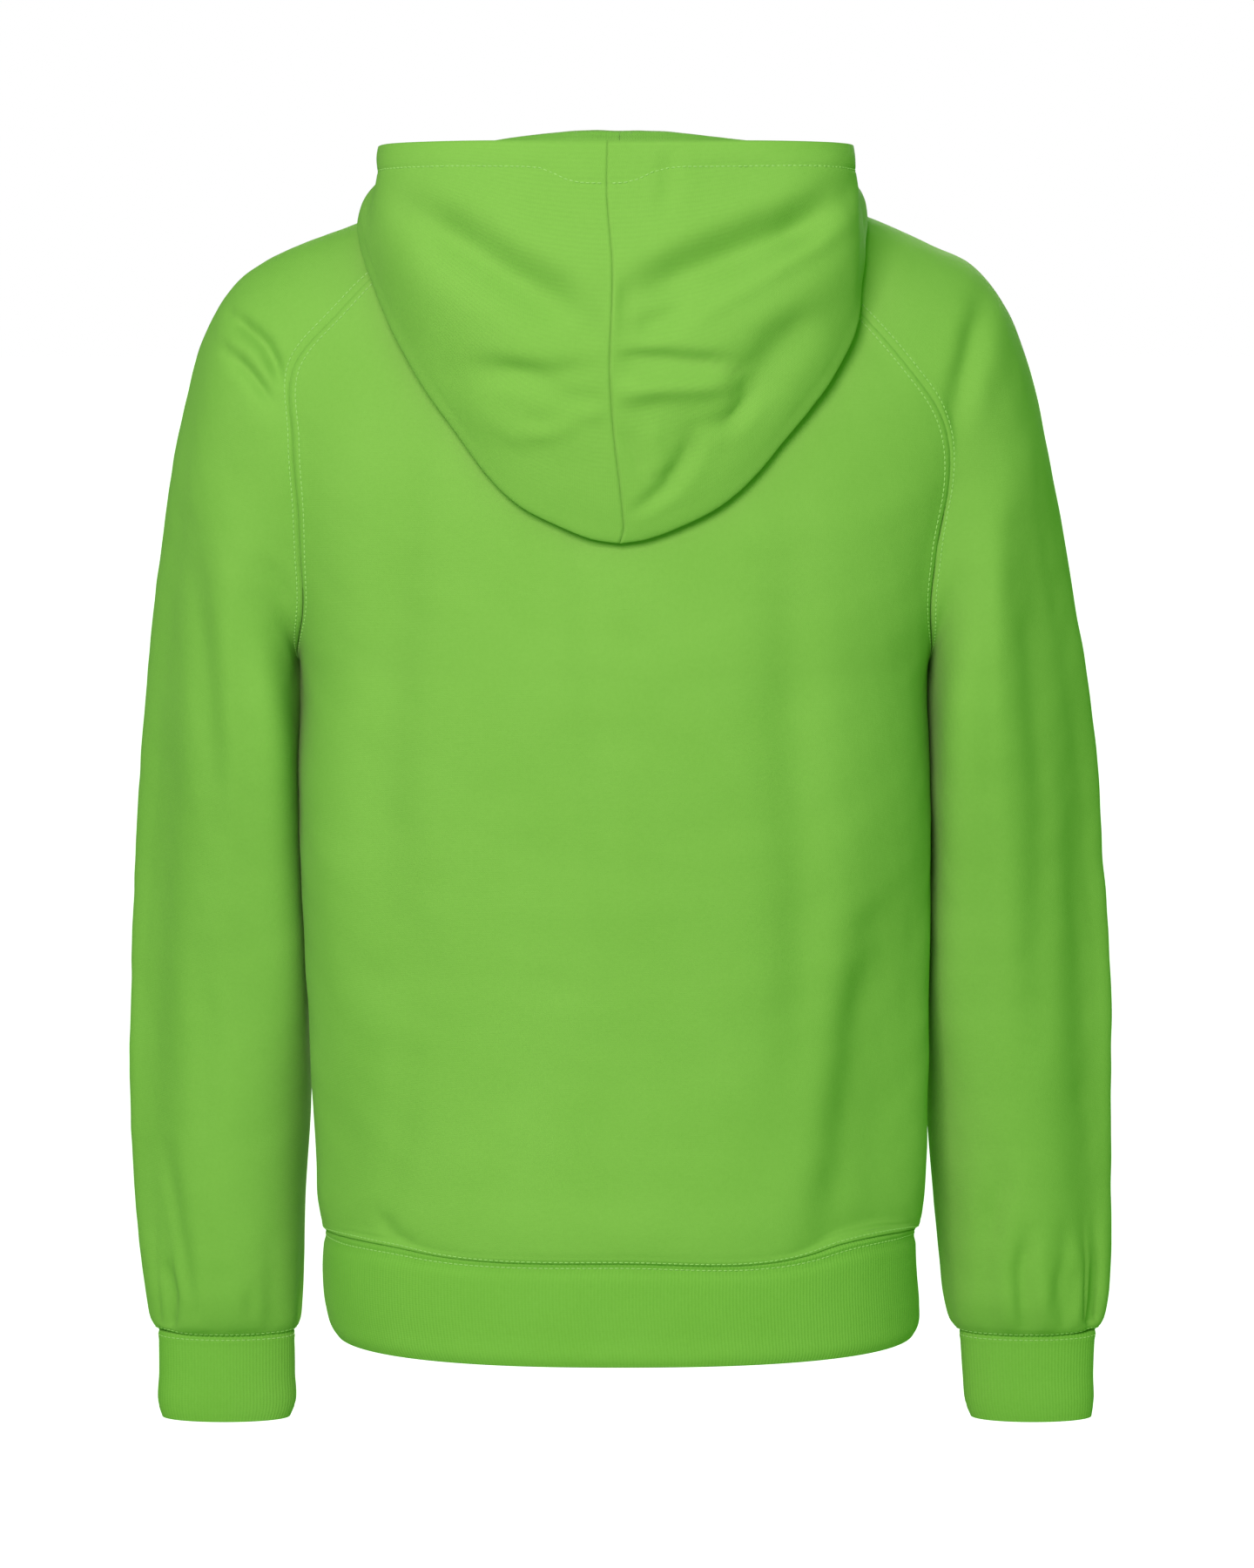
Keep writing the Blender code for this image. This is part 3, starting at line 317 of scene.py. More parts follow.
def spread(count, length, near_start, near_end):
    """Shares from 0 to 1 over this length, closer together beside a seam at its start or its end."""
    near = np.array(SEAM_STEPS) / length
    start = near if near_start else near[:1]
    end = 1 - near[::-1] if near_end else np.ones(1)
    middle = np.linspace(start[-1], end[0], count + 1)[1:-1]
    return np.concatenate([start, middle, end])


RAGLAN_ALONG = spread(120, 340, True, False)
BODY_DROPS = UNDERARM_DROP + (HEM_SEAM_DROP - UNDERARM_DROP) * spread(104, 357, False, True)[1:]
PANEL_SHARES = spread(132, 430, True, True)
PANEL_ANGLES = np.pi * (PANEL_SHARES - 0.5)
ARM_LENGTH = 1.26  # from the underarm (1) to the end of the arm's table
ARM_ALONG = 1 + ARM_LENGTH * spread(118, 236, False, True)[1:]
HALF_SHARES = spread(58, 200, True, False)
RIB_DROPS = HEM_SEAM_DROP + (HEM_DROP - HEM_SEAM_DROP) * spread(14, 64.5, True, True)
CUFF_DROPS = CUFF_SEAM_DROP + (CUFF_DROP - CUFF_SEAM_DROP) * spread(12, 56.5, True, True)
HOOD_STEPS = (8, 8, 14, 14, 10, 10, 44, 44)  # rows between the control points of the hood's profile
HOOD_FOLD = sum(HOOD_STEPS[:5])  # the row where it turns back up
HOOD_TURN = sum(HOOD_STEPS[:6])  # and the row where that turn ends
HOOD_CREASED = (HOOD_TURN - 6, HOOD_TURN + 4)  # its creases come in between these rows
HOOD_COLUMNS = 120
HOOD_CROWDING = (0.12, 1.5)  # its columns stand closer to the centre back: an even share, and an exponent


def section_angle(x, drop):
    half = TORSO.at(drop, "left" if x >= 0 else "right")
    return np.sign(x) * np.arcsin(min(1.0, abs(x) / half) ** (ROUND / 2))


def torso_point(angle, drop, side):
    """A point of the torso's section, by its angle from the centre line of that side."""
    left, right, depth = TORSO.at(drop, "left", "right", side)
    half = np.where(angle >= 0, left, right)
    x = np.sign(angle) * half * np.abs(np.sin(angle)) ** (2 / ROUND)
    y = SIDE_Y + (depth - SIDE_Y) * np.abs(np.cos(angle)) ** (2 / ROUND)
    return np.stack([x, y, -np.asarray(drop, float) + 0 * x], axis=-1)


def seam_angle(raglan, sign, along, side):
    """The raglan seam's angle on the torso's section, read between the angles of its table's rows."""
    places = zip(raglan.column(side + "_x"), raglan.column(side + "_drop"))
    angles = [section_angle(sign * x, drop) for x, drop in places]
    return smooth_curve(raglan.column("along"), angles, along)


def seam_point(raglan, sign, along, side):
    drop = raglan.at(along, side + "_drop")
    return torso_point(seam_angle(raglan, sign, along, side), drop, side)


def panel_row(side, along, shares):
    """One row of a body panel between its two raglan seams, from the wearer's right to the left."""
    ends = []
    for raglan, sign in ((RAGLAN_RIGHT, -1), (RAGLAN_LEFT, 1)):
        ends.append((seam_angle(raglan, sign, along, side), raglan.at(along, side + "_drop")))
    (first, first_drop), (last, last_drop) = ends
    angle = first + (last - first) * shares
    drop = first_drop + (last_drop - first_drop) * shares
    drop += NECK_DIP[side] * (1 - along) ** 3 * np.sin(np.pi * shares) ** 2
    row = torso_point(angle, drop, side)
    row[0] = seam_point(RAGLAN_RIGHT, -1, along, side)
    row[-1] = seam_point(RAGLAN_LEFT, 1, along, side)
    return row


def hem_risen(points):
    """The hem seam's rise at the sides of the back, for the body and the rib alike."""
    ends = HEM_RISE.rows[[0, -1], 0]
    rise = HEM_RISE.at(np.clip(points[..., 0], *ends), "rise") * ramp(points[..., 1], *HEM_RISE_DEPTHS)
    near = 1 - np.abs(points[..., 2] + HEM_SEAM_DROP) / HEM_RISE_REACH
    points = points.copy()
    points[..., 2] += rise * eased(near)
    return points


def body_panel(side):
    rows = [panel_row(side, along, PANEL_SHARES) for along in RAGLAN_ALONG]
    rows += [torso_point(PANEL_ANGLES, drop, side) for drop in BODY_DROPS]
    grid = hem_risen(np.array(rows))
    return grid if side == "back" else grid[:, ::-1]


def hem_rib():
    rows = []
    for drop in RIB_DROPS:
        back = torso_point(PANEL_ANGLES, drop, "back")
        front = torso_point(PANEL_ANGLES[::-1], drop, "front")
        rows.append(np.concatenate([back, front[1:-1]]))
    return hem_risen(np.array(rows))


CUBIC_REACH = 4 / 3  # a cubic with its handles this far out bulges by one


def arc_controls(raglan, sign, along):
    """The seven control points of a raglan arc: two cubic curves that meet on the shoulder's ridge."""
    back = seam_point(raglan, sign, along, "back")
    front = seam_point(raglan, sign, along, "front")
    x, y, drop = raglan.at(along, "top_x", "top_y", "top_drop")
    top = np.array([sign * x, y, -drop])
    back_turn, back_reach, front_turn, front_reach, ridge = ARC.at(along, *ARC.names[1:])
    handles = []
    for seam, turn, reach, out in ((back, back_turn, back_reach, 1), (front, front_turn, front_reach, -1)):
        chord = top - seam
        length = np.linalg.norm(chord)
        lead = unit((1 - turn) * chord / length + turn * np.array([0, out, 0]))
        handles.append(seam + lead * reach * length)
        handles.append(top + np.array([0, out, 0]) * reach * length * ridge)
    return np.array([back, handles[0], handles[1], top, handles[3], handles[2], front])


def ring_controls(hand, sign, along):
    """The same seven control points for a closed ring of the arm on this hand."""
    edges = [f"{hand}_{name}" for name in ("in_x", "in_drop", "out_x", "out_drop")]
    in_x, in_drop, out_x, out_drop, mid_y, back, front, inward = ARM.at(along, *edges, *ARM.names[-4:])
    inner = np.array([sign * in_x, mid_y, -in_drop])
    outer = np.array([sign * out_x, mid_y, -out_drop])
    to_back = np.array([0, back * CUBIC_REACH, 0])
    to_front = np.array([0, -front * CUBIC_REACH, 0])
    more, less = 1 + inward, 1 - inward
    across_back = [inner, inner + to_back * more, outer + to_back * less, outer]
    return np.array([*across_back, outer + to_front * less, inner + to_front * more, inner])


def cubic(points, t):
    t = t[:, None]
    ends = points[0] * (1 - t) ** 3 + points[3] * t**3
    return ends + points[1] * 3 * t * (1 - t) ** 2 + points[2] * 3 * t * t * (1 - t)


def arc(controls, shares=HALF_SHARES):
    there, back = cubic(controls[:4], shares), cubic(controls[3:], 1 - shares[::-1])
    return np.concatenate([there, back[1:]])


def sleeve_grid(raglan, hand, sign):
    """Rows from the neckline to the cuff seam; columns from the back seam over the shoulder to the front."""
    upper = np.union1d(raglan.column("along"), ARC.column("along"))
    knots = np.concatenate([upper, ARM.column("along")])
    stations = [arc_controls(raglan, sign, along) for along in upper]
    stations += [ring_controls(hand, sign, along) for along in ARM.column("along")]
    stations = np.array(stations)
    rows = []
    for along in np.concatenate([RAGLAN_ALONG, ARM_ALONG]):
        controls = smooth_curve(knots, stations, along)
        if along > 1:
            controls[[0, 6]] = (controls[0] + controls[6]) / 2
        else:
            controls[[0, 6]] = [seam_point(raglan, sign, along, side) for side in ("back", "front")]
        rows.append(arc(controls))
    return np.array(rows)


def gathered(grid, name):
    """The sleeve drawn into its cuff: short troughs that start at the seam and fade out up the sleeve."""
    columns = grid.shape[1] - 1
    turn = np.linspace(0, 360, columns + 1)
    drop = -grid[..., 2]
    fade = ramp(drop, *GATHER_DROPS) * eased((CUFF_SEAM_DROP - drop) / GATHER_SEAM)
    inward = unit(grid[:, :-1].mean(axis=1, keepdims=True) - grid)
    depth = np.zeros(columns + 1)
    for centre, half_width, deep in GATHERS[name]:
        place = (turn - centre) / half_width
        depth += deep * np.exp(-(place**2))
        depth -= GATHER_BULGE * deep * np.exp(-((place / GATHER_BULGE_WIDTH) ** 2))
    return grid + inward * (depth * fade)[..., None]


def cuff_grid(hand, sign):
    rows = []
    for drop in CUFF_DROPS:
        in_x, out_x, half = CUFF.at(drop, hand + "_in_x", hand + "_out_x", "half_depth")
        inner = np.array([sign * in_x, CUFF_Y, -drop])
        outer = np.array([sign * out_x, CUFF_Y, -drop])
        reach = np.array([0, half * CUBIC_REACH, 0])
        controls = [inner, inner + reach, outer + reach, outer, outer - reach, inner - reach, inner]
        rows.append(arc(np.array(controls)))
    return np.array(rows)


def neckline(samples=24):
    """The left half of the neckline, front to back, as points and shares of its length."""
    even = np.linspace(0, 1, samples + 1)
    whole = np.linspace(0, 1, 2 * samples + 1)
    front, back = panel_row("front", 0, whole), panel_row("back", 0, whole)
    shoulder = arc(arc_controls(RAGLAN_LEFT, 1, 0), even)
    points = np.concatenate([front[samples:], shoulder[::-1][1:], back[::-1][1 : samples + 1]])
    run = run_lengths(points, 0)
    return points, run / run[-1]


def hood_controls(sign, along, base):
    """The nine control points of the hood's profile at one place of the neckline."""
    edge = np.array(HOOD_EDGE.at(along, "x", "y", "z"))
    out = edge - base
    shares = np.array(HOOD_PLAIN_SHARES)[:, None]
    across = np.array([edge[0], edge[1], 0.0]) / max(1.0, np.hypot(edge[0], edge[1]))
    plain = base + out * shares + HOOD_PLAIN_SWELL * np.sin(np.pi * shares) * across
    if along <= HOOD_FALL_STARTS:
        return plain
    place = max(along, HOOD_FALL.rows[0, 0])
    *crest_and_fold, wider, swell = HOOD_FALL.at(place, *HOOD_FALL.names[1:])
    crest, fold = np.array(crest_and_fold).reshape(2, 3)
    if sign < 0:
        fold[0] += wider
        edge[0] += wider / 2
    up = unit((crest + edge) / 2 - fold)
    away = unit((edge - crest) - np.dot(edge - crest, up) * up)
    turn_in = fold + HOOD_FOLD_HEIGHT * up - HOOD_FOLD_RADIUS * away
    turn_out = fold + HOOD_FOLD_HEIGHT * up + HOOD_FOLD_RADIUS * away
    stand = base + (crest - base) * HOOD_STAND_SHARE - HOOD_STAND_BULGE * away
    inner = (crest + turn_in) / 2 - HOOD_INNER_BULGE * away
    outer = (turn_out + edge) / 2 + swell * away
    fallen = np.array([base, stand, crest, inner, turn_in, fold, turn_out, outer, edge])
    weight = ramp(along, HOOD_FALL_STARTS, HOOD_FALL_WHOLE)
    return plain * (1 - weight) + fallen * weight


def hood_grid(sign):
    """Rows from the neckline to the opening edge; columns from the centre front to the centre back."""
    points, shares = neckline()
    to_back = np.linspace(1, 0, HOOD_COLUMNS + 1)
    even, power = HOOD_CROWDING
    columns = []
    for along in 1 - (even * to_back + (1 - even) * to_back**power):
        controls = hood_controls(sign, along, smooth_curve(shares, points, along))
        lengths = np.linalg.norm(np.diff(controls, axis=0), axis=1)
        knots = np.concatenate([[0], np.cumsum(lengths**HOOD_SPACING)])
        places = [
            knots[i] + (knots[i + 1] - knots[i]) * step / steps
            for i, steps in enumerate(HOOD_STEPS)
            for step in range(steps)
        ]
        columns.append(smooth_curve(knots, controls, [*places, knots[-1]]))
    grid = np.array(columns).transpose(1, 0, 2)
    grid[:, 0, 0] = 0
    grid[:, -1, 0] = 0
    grid[..., 0] *= sign
    return resting_on_back(grid)


def resting_on_back(grid):
    """The hood kept just clear of the back it lies on."""
    x, drop = grid[..., 0], -grid[..., 2]
    left, right, back = TORSO.at(np.clip(drop, 0, HEM_SEAM_DROP), "left", "right", "back")
    half = np.where(x >= 0, left, right)
    reach = np.clip(1 - (np.abs(x) / half) ** ROUND, 0, 1) ** (1 / ROUND)
    least = SIDE_Y + (back - SIDE_Y) * reach + HOOD_REST
    behind = (drop > HOOD_REST_DROP) & (grid[..., 1] > 0)
    grid = grid.copy()
    grid[..., 1] = np.where(behind, np.maximum(grid[..., 1], least), grid[..., 1])
    return grid


def seam_wandered(grid):
    """The hood's centre seam wanders a little on the layer that lies outside."""
    rows = np.arange(len(grid))
    outer = ramp(rows, HOOD_FOLD, HOOD_TURN)[:, None]
    ends = CENTRE_SEAM.rows[[0, -1], 0]
    lean = CENTRE_SEAM.at(np.clip(-grid[..., 2], *ends), "x")
    near = eased(1 - np.abs(grid[..., 0]) / CENTRE_SEAM_PULL) * ramp(grid[..., 1], *CENTRE_SEAM_DEPTHS)
    grid = grid.copy()
    grid[..., 0] += lean * near * outer
    return grid


def distance_to_line(places, line):
    """Each place's distance to a line of points, and how far along the line its nearest point is."""
    line = np.array(line, float)
    starts = run_lengths(line, 0)
    best = np.full(places.shape[:-1], np.inf)
    along = np.zeros(places.shape[:-1])
    for i, length in enumerate(np.diff(starts)):
        step = (line[i + 1] - line[i]) / length
        offset = places - line[i]
        reach = np.clip(offset @ step, 0, length)
        gap = np.linalg.norm(offset - reach[..., None] * step, axis=-1)
        closer = gap < best
        best = np.where(closer, gap, best)
        along = np.where(closer, (starts[i] + reach) / starts[-1], along)
    return best, along


# Where a piece's back turns to its side: the way it faces along x, how far it stands out there, and the drops
# at which that starts, is whole, starts to fade and ends. So the sleeves hang squarer beside the body.
CORNERS = {
    "back": ((-1, -10.0, 380, 540, 800, 900), (1, 3.0, 270, 330, 400, 480), (1, -7.0, 460, 600, 800, 900)),
    "sleeve_left": ((-1, 10.0, 220, 340, 460, 560), (1, -6.0, 100, 260, 800, 900)),
    "sleeve_right": ((1, 7.0, 220, 340, 480, 580), (-1, -7.0, 100, 260, 800, 900)),
}
CORNER_SEAM = 25.0  # above the underarm a corner fades out in this distance to a seam
CORNER_WHOLE_DROP = 345.0  # and from this drop on it does not fade at all

# Below the armpit body and sleeves swell towards each other.
SWELL = 1.3
SWELL_REACH = 22.0  # from the side seam
SWELL_DROPS = (-6, 20, 150, 230)  # it starts, is whole, starts to fade and ends this far under the armpit

WAVES = ((90, 0.35), (42, 0.16), (19, 0.08))  # length and height of the cloth's unevenness
WAVES_OF_EACH = 6
WAVES_STRETCH = (0.7, 1.4)  # between these shares of that length
WAVES_SEAM = 14.0  # they fade out in this distance to a seam
RIB_WAVES = 0.35  # a rib has this share of it

# Each seam's relief by the distance from it: how deep the cloth dips at the seam itself, how far it stands up
# beside it, how far that reaches, and where its stitches pull it in again (0 for none).
SEAMS = {
    "twin": (0.15, 0.4, 6.0, 4.6),
    "rib": (0.2, 0.4, 4.6, 2.7),
    "plain": (0.12, 0.08, 3.0, 0.0),
    "neck": (0.6, 0.4, 6.0, 0.0),
}
RISE_FADE = (0.7, 1.5)  # shares of that reach between which the rise fades out
SEAM_WIDTH = 1.3
STITCH_GROOVE = (0.3, 0.8)  # depth and half width of the groove that a row of stitches pulls in
CASING = (15.5, 25.0)  # from the hood's opening edge to its casing's stitches: at the sides and in the middle
CASING_MIDDLE = (10.0, 27.0)  # where the stitches run lower, and how far that reaches to each side
CASING_SWELL = 0.7
CASING_GROOVE = (0.6, 1.1)
CUFF_TURN = 8.5  # from the cuff's end to the shallow groove of its turned edge
CUFF_GROOVE = (0.25, 1.0)


def casing_width(x):
    sides, middle = CASING
    place, reach = CASING_MIDDLE
    return sides + (middle - sides) * np.exp(-(((x - place) / reach) ** 4))


def groove(distance, depth, half_width):
    return depth * np.exp(-((distance / half_width) ** 2))


def seam_relief(distance, kind):
    dip, rise, reach, stitches = SEAMS[kind]
    fade_start, fade_end = RISE_FADE
    height = rise * (1 - ramp(distance, reach * fade_start, reach * fade_end))
    height -= groove(distance, dip + rise, SEAM_WIDTH)
    if stitches:
        height -= groove(distance - stitches, *STITCH_GROOVE)
    return height


def outward_normals(grid, ring, flip):
    if ring:
        grid = np.concatenate([grid[:, -2:], grid, grid[:, :2]], axis=1)
    normals = unit(np.cross(np.gradient(grid, axis=1), np.gradient(grid, axis=0)))
    if ring:
        normals = normals[:, 2:-2]
    return -normals if flip else normals


def unevenness(grid, seed):
    """Soft waves that no seam or fold explains, the same each run."""
    random = np.random.default_rng(seed)
    height = np.zeros(grid.shape[:2])
    for length, depth in WAVES:
        for _ in range(WAVES_OF_EACH):
            way = unit(random.normal(size=3))
            stretch = random.uniform(*WAVES_STRETCH)
            turn = grid @ way * 2 * np.pi / (length * stretch) + random.uniform(0, 2 * np.pi)
            height += depth * np.sin(turn) / 2
    return height


class Cloth:
    """A cloth piece: its smooth outer face as a grid, the relief on it, and the lengths from its edges."""

    def __init__(self, name, grid, flip=False, closed_from=None, ring=False):
        self.name, self.grid, self.flip, self.closed_from, self.ring = name, grid, flip, closed_from, ring
        self.wall = RIB if ring else CLOTH
        self.normals = outward_normals(grid, ring, flip)
        self.across, self.down = run_lengths(grid, 1), run_lengths(grid, 0)
        self.away = {
            "top": self.down,
            "bottom": self.down[-1:] - self.down,
            "first": self.across,
            "last": self.across[:, -1:] - self.across,
        }
        self.height = np.zeros(grid.shape[:2])

    def seam_fade(self, reach):
        edges = ("top", "bottom") if self.ring else self.away
        return np.prod([eased(self.away[edge] / reach) for edge in edges], axis=0)

    def press(self, folds):
        fade = self.seam_fade(FOLD_SEAM)
        places = self.grid[..., (0, 2)] * (1, -1)
        for side, depth, half_width, *line in folds:
            gap, along = distance_to_line(places, line)
            square = (gap / half_width) ** 2
            tips = FOLD_TIP_DEPTH + (1 - FOLD_TIP_DEPTH) * eased(np.minimum(along, 1 - along) / FOLD_TIP)
            facing = ramp(side * self.normals[..., 1], *FOLD_FACING)
            profile = (1 - FOLD_RIDGE * square) * np.exp(-FOLD_SPREAD * square)
            self.height -= depth * profile * tips * facing * fade

    def line_beside(self, edge, distance, lines):
        """Points and normals at this distance (or these) from an edge, one on each of these grid lines."""
        away, surface = self.away[edge], self.grid + self.normals * self.height[..., None]
        both = np.concatenate([surface, self.normals], axis=-1)
        if edge in ("top", "bottom"):
            away, both = away.T, both.swapaxes(0, 1)
        if edge in ("last", "bottom"):
            away, both = away[:, ::-1], both[:, ::-1]
        places = zip(lines, np.broadcast_to(distance, len(lines)))
        found = [[np.interp(place, away[line], part) for part in both[line].T] for line, place in places]
        return np.array(found)[:, :3], np.array(found)[:, 3:]


STITCH_PITCH = 3.3
STITCH_LENGTH = 2.7
THREAD = 0.42  # half width of a stitch
STITCH_SIDES = 6
# The rings a stitch is made of: their places along it, their widths and their heights.
STITCH_RINGS = ((-0.5, -0.34, 0.34, 0.5), (0.45, 1, 1, 0.45), (-0.25, 0.1, 0.1, -0.25))


def stitches(lines):
    """Stitches along lines of (points, normals), as vertices and faces."""
    turn = (np.arange(STITCH_SIDES) * 2 * np.pi / STITCH_SIDES)[:, None]
    along, width, height = np.array(STITCH_RINGS)[..., None]
    index = np.arange(len(along) * STITCH_SIDES).reshape(-1, STITCH_SIDES)
    beside = np.roll(index, -1, axis=1)
    faces = np.stack([index[:-1], beside[:-1], beside[1:], index[1:]], axis=-1).reshape(-1, 4).tolist()
    faces += [index[0, ::-1].tolist(), index[-1].tolist()]
    vertices = []
    for points, normals in lines:
        run = run_lengths(points, 0)
        middles = np.arange(STITCH_PITCH, run[-1] - STITCH_PITCH, STITCH_PITCH)
        place, next_place, up = (
            np.stack([np.interp(at, run, part) for part in values.T], axis=-1)
            for at, values in ((middles, points), (middles + 1, points), (middles, normals))
        )
        ahead = unit(next_place - place)
        up = unit(up - ahead * (up * ahead).sum(axis=-1, keepdims=True))
        place, ahead, up, side = (part[:, None] for part in (place, ahead, up, np.cross(up, ahead)))
        centres = place + ahead * along * STITCH_LENGTH + up * height
        round_it = side * np.cos(turn) + up * np.sin(turn)
        vertices.append(centres[:, :, None] + THREAD * width[..., None] * round_it[:, None])
    vertices = np.concatenate(vertices).reshape(-1, 3)
    starts = range(0, len(vertices), index.size)
    return vertices, [[start + corner for corner in face] for start in starts for face in faces]


def linked(mesh, *materials):
    mesh.shade_smooth()
    for material in materials:
        mesh.materials.append(material)
    made = bpy.data.objects.new(mesh.name, mesh)
    bpy.context.scene.collection.objects.link(made)
    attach(made, "root")
    return made


SAME_WAY = 0.4  # normals are averaged at a seam where the cosine between them is above this


def share_normals(cloths):
    """Where pieces are sewn together each takes the mean of their normals, so their edges stay together."""
    meeting = {}
    for cloth in cloths:
        border = np.ones(cloth.grid.shape[:2], bool)
        border[1:-1, slice(None) if cloth.ring else slice(1, -1)] = False
        cloth.border = [(at, tuple(np.round(cloth.grid[at], 1).tolist())) for at in zip(*np.nonzero(border))]
        cloth.shared = cloth.normals.copy()
        for at, place in cloth.border:
            meeting.setdefault(place, []).append(cloth.normals[at])
    for cloth in cloths:
        for at, place in cloth.border:
            alike = [normal for normal in meeting[place] if normal @ cloth.normals[at] > SAME_WAY]
            cloth.shared[at] = unit(np.sum(alike, axis=0))


def quads(grid):
    return np.stack([grid[:-1, :-1], grid[:-1, 1:], grid[1:, 1:], grid[1:, :-1]], axis=-1).reshape(-1, 4)


def shell(cloth, materials):
    """The cloth as one closed thin mesh, outer face and inner face, with lengths along it as its UV map."""
    rows, columns = cloth.grid.shape[:2]
    index = np.arange(rows * columns).reshape(rows, columns)
    if cloth.ring:
        around = cloth.across[:, -1:] + np.linalg.norm(cloth.grid[:, :1] - cloth.grid[:, -1:], axis=-1)
        u = np.concatenate([cloth.across, around], axis=1) / around * around.mean()
        index = np.concatenate([index, index[:, :1]], axis=1)
    else:
        u = cloth.across - cloth.across.mean(axis=1, keepdims=True)
        if cloth.closed_from is not None:
            index[cloth.closed_from :, -1] = index[cloth.closed_from :, 0]
    v = np.broadcast_to(cloth.down.mean(axis=1, keepdims=True), u.shape)
    faces, corners = quads(index), quads(np.arange(u.size).reshape(u.shape))
    if cloth.flip:
        faces, corners = faces[:, ::-1], corners[:, ::-1]
    heights = np.stack([cloth.height, np.minimum(cloth.height, 0) - cloth.wall])
    layers = (cloth.grid + cloth.shared * heights[..., None]).reshape(-1, 3)
    count = rows * columns
    start, end = faces.ravel(), np.roll(faces, -1, axis=1).ravel()
    open_edges = ~np.isin(end * count + start, start * count + end)
    start, end = start[open_edges], end[open_edges]
    rim = np.stack([end, start, start + count, end + count], axis=1)
    first, second = corners.ravel()[open_edges], np.roll(corners, -1, axis=1).ravel()[open_edges]
    rim_corners = np.stack([second, first, first, second], axis=1)
    every_face = np.concatenate([faces, faces[:, ::-1] + count, rim])
    every_corner = np.concatenate([corners, corners[:, ::-1], rim_corners]).ravel()
    used, compact = np.unique(every_face, return_inverse=True)
    points = layers[used] * MM
    mesh = bpy.data.meshes.new("cloth_" + cloth.name)
    mesh.from_pydata(points.tolist(), [], compact.reshape(-1, 4).tolist())
    laid_flat = np.stack([u.ravel(), v.ravel()], axis=-1)[every_corner] * MM
    mesh.uv_layers.new(name="laid_flat").data.foreach_set("uv", laid_flat.ravel().astype(np.float32))
    made = linked(mesh, *materials)
    part = np.arange(len(every_face)) // len(faces)  # 0 on the outer face, 1 on the inner one, 2 on the rim
    mesh.polygons.foreach_set("material_index", (part == 1).astype(np.int32))
    mesh.polygons.foreach_set("use_smooth", part < 2)
    mesh.update()
    return made


class Nodes:
    """Short calls for building the node tree of a material or of the world."""

    def __init__(self, owner):
        owner.use_nodes = True
        self.tree = owner.node_tree
        shaders = ("BSDF_PRINCIPLED", "BACKGROUND")
        self.shader = next(node for node in self.tree.nodes if node.type in shaders)

    def new(self, kind):
        return self.tree.nodes.new("ShaderNode" + kind)

    def put(self, socket, value):
        if isinstance(value, bpy.types.NodeSocket):
            self.tree.links.new(value, socket)
        else:
            socket.default_value = value

    def shade(self, values):
        for name, value in values.items():
            self.put(self.shader.inputs[name], value)

    def split(self, vector):
        node = self.new("SeparateXYZ")
        self.put(node.inputs[0], vector)
        return node.outputs

    def math(self, operation, first, second=0.0, third=0.0):
        node = self.new("Math")
        node.operation = operation
        for socket, value in zip(node.inputs, (first, second, third)):
            self.put(socket, value)
        return node.outputs[0]

    def noise(self, scale, detail=3.0):
        node = self.new("TexNoise")
        self.put(node.inputs["Vector"], self.new("TexCoord").outputs["Object"])
        node.inputs["Scale"].default_value = scale
        node.inputs["Detail"].default_value = detail
        return node.outputs["Fac"]

    def mix(self, share, first, second):
        node = self.new("Mix")
        node.data_type = "RGBA"
        self.put(node.inputs["Factor"], share)
        self.put(node.inputs["A"], first)
        self.put(node.inputs["B"], second)
        return node.outputs["Result"]

    def seen_by_camera(self):
        return self.new("LightPath").outputs["Is Camera Ray"]


KNIT_SLANT = 1.3


def knit_height(nodes, u, v, wale, course):
    """The face of a jersey knit: columns of small Vs."""
    column = nodes.math("DIVIDE", u, wale)
    across = nodes.math("ABSOLUTE", nodes.math("SUBTRACT", nodes.math("FRACT", column), 0.5))
    slant = nodes.math("ADD", nodes.math("DIVIDE", v, course), nodes.math("MULTIPLY", across, KNIT_SLANT))
    loops = nodes.math("SINE", nodes.math("MULTIPLY", slant, 2 * math.pi))
    valley = nodes.math("COSINE", nodes.math("MULTIPLY", across, 4 * math.pi))
    return nodes.math("MULTIPLY_ADD", valley, -0.5, nodes.math("MULTIPLY", loops, 0.5))


def rib_height(nodes, u, v, pitch, course):
    """A fine rib: raised wales with narrow valleys, and the loops on them."""
    wave = nodes.math("COSINE", nodes.math("MULTIPLY", u, 2 * math.pi / pitch))
    loops = nodes.math("SINE", nodes.math("MULTIPLY", v, 2 * math.pi / course))
    return nodes.math("MULTIPLY_ADD", loops, 0.2, nodes.math("MULTIPLY", wave, 0.8))


NAP, TUFTS, CLOUDS, TWIST = 1900.0, 420.0, 14.0, 900.0  # waves of noise in a metre
# The knit's share is painted shade: it makes the knit's loops lighter and its valleys darker in colour.
CLOUD_SHARE, TUFT_SHARE, KNIT_SHADE_SHARE = 0.55, 0.35, 0.10  # of the way from the deep colour to the light one
WARM_SHEEN = (1.0, 0.92, 0.62, 1)
WHITE = (1, 1, 1, 1)


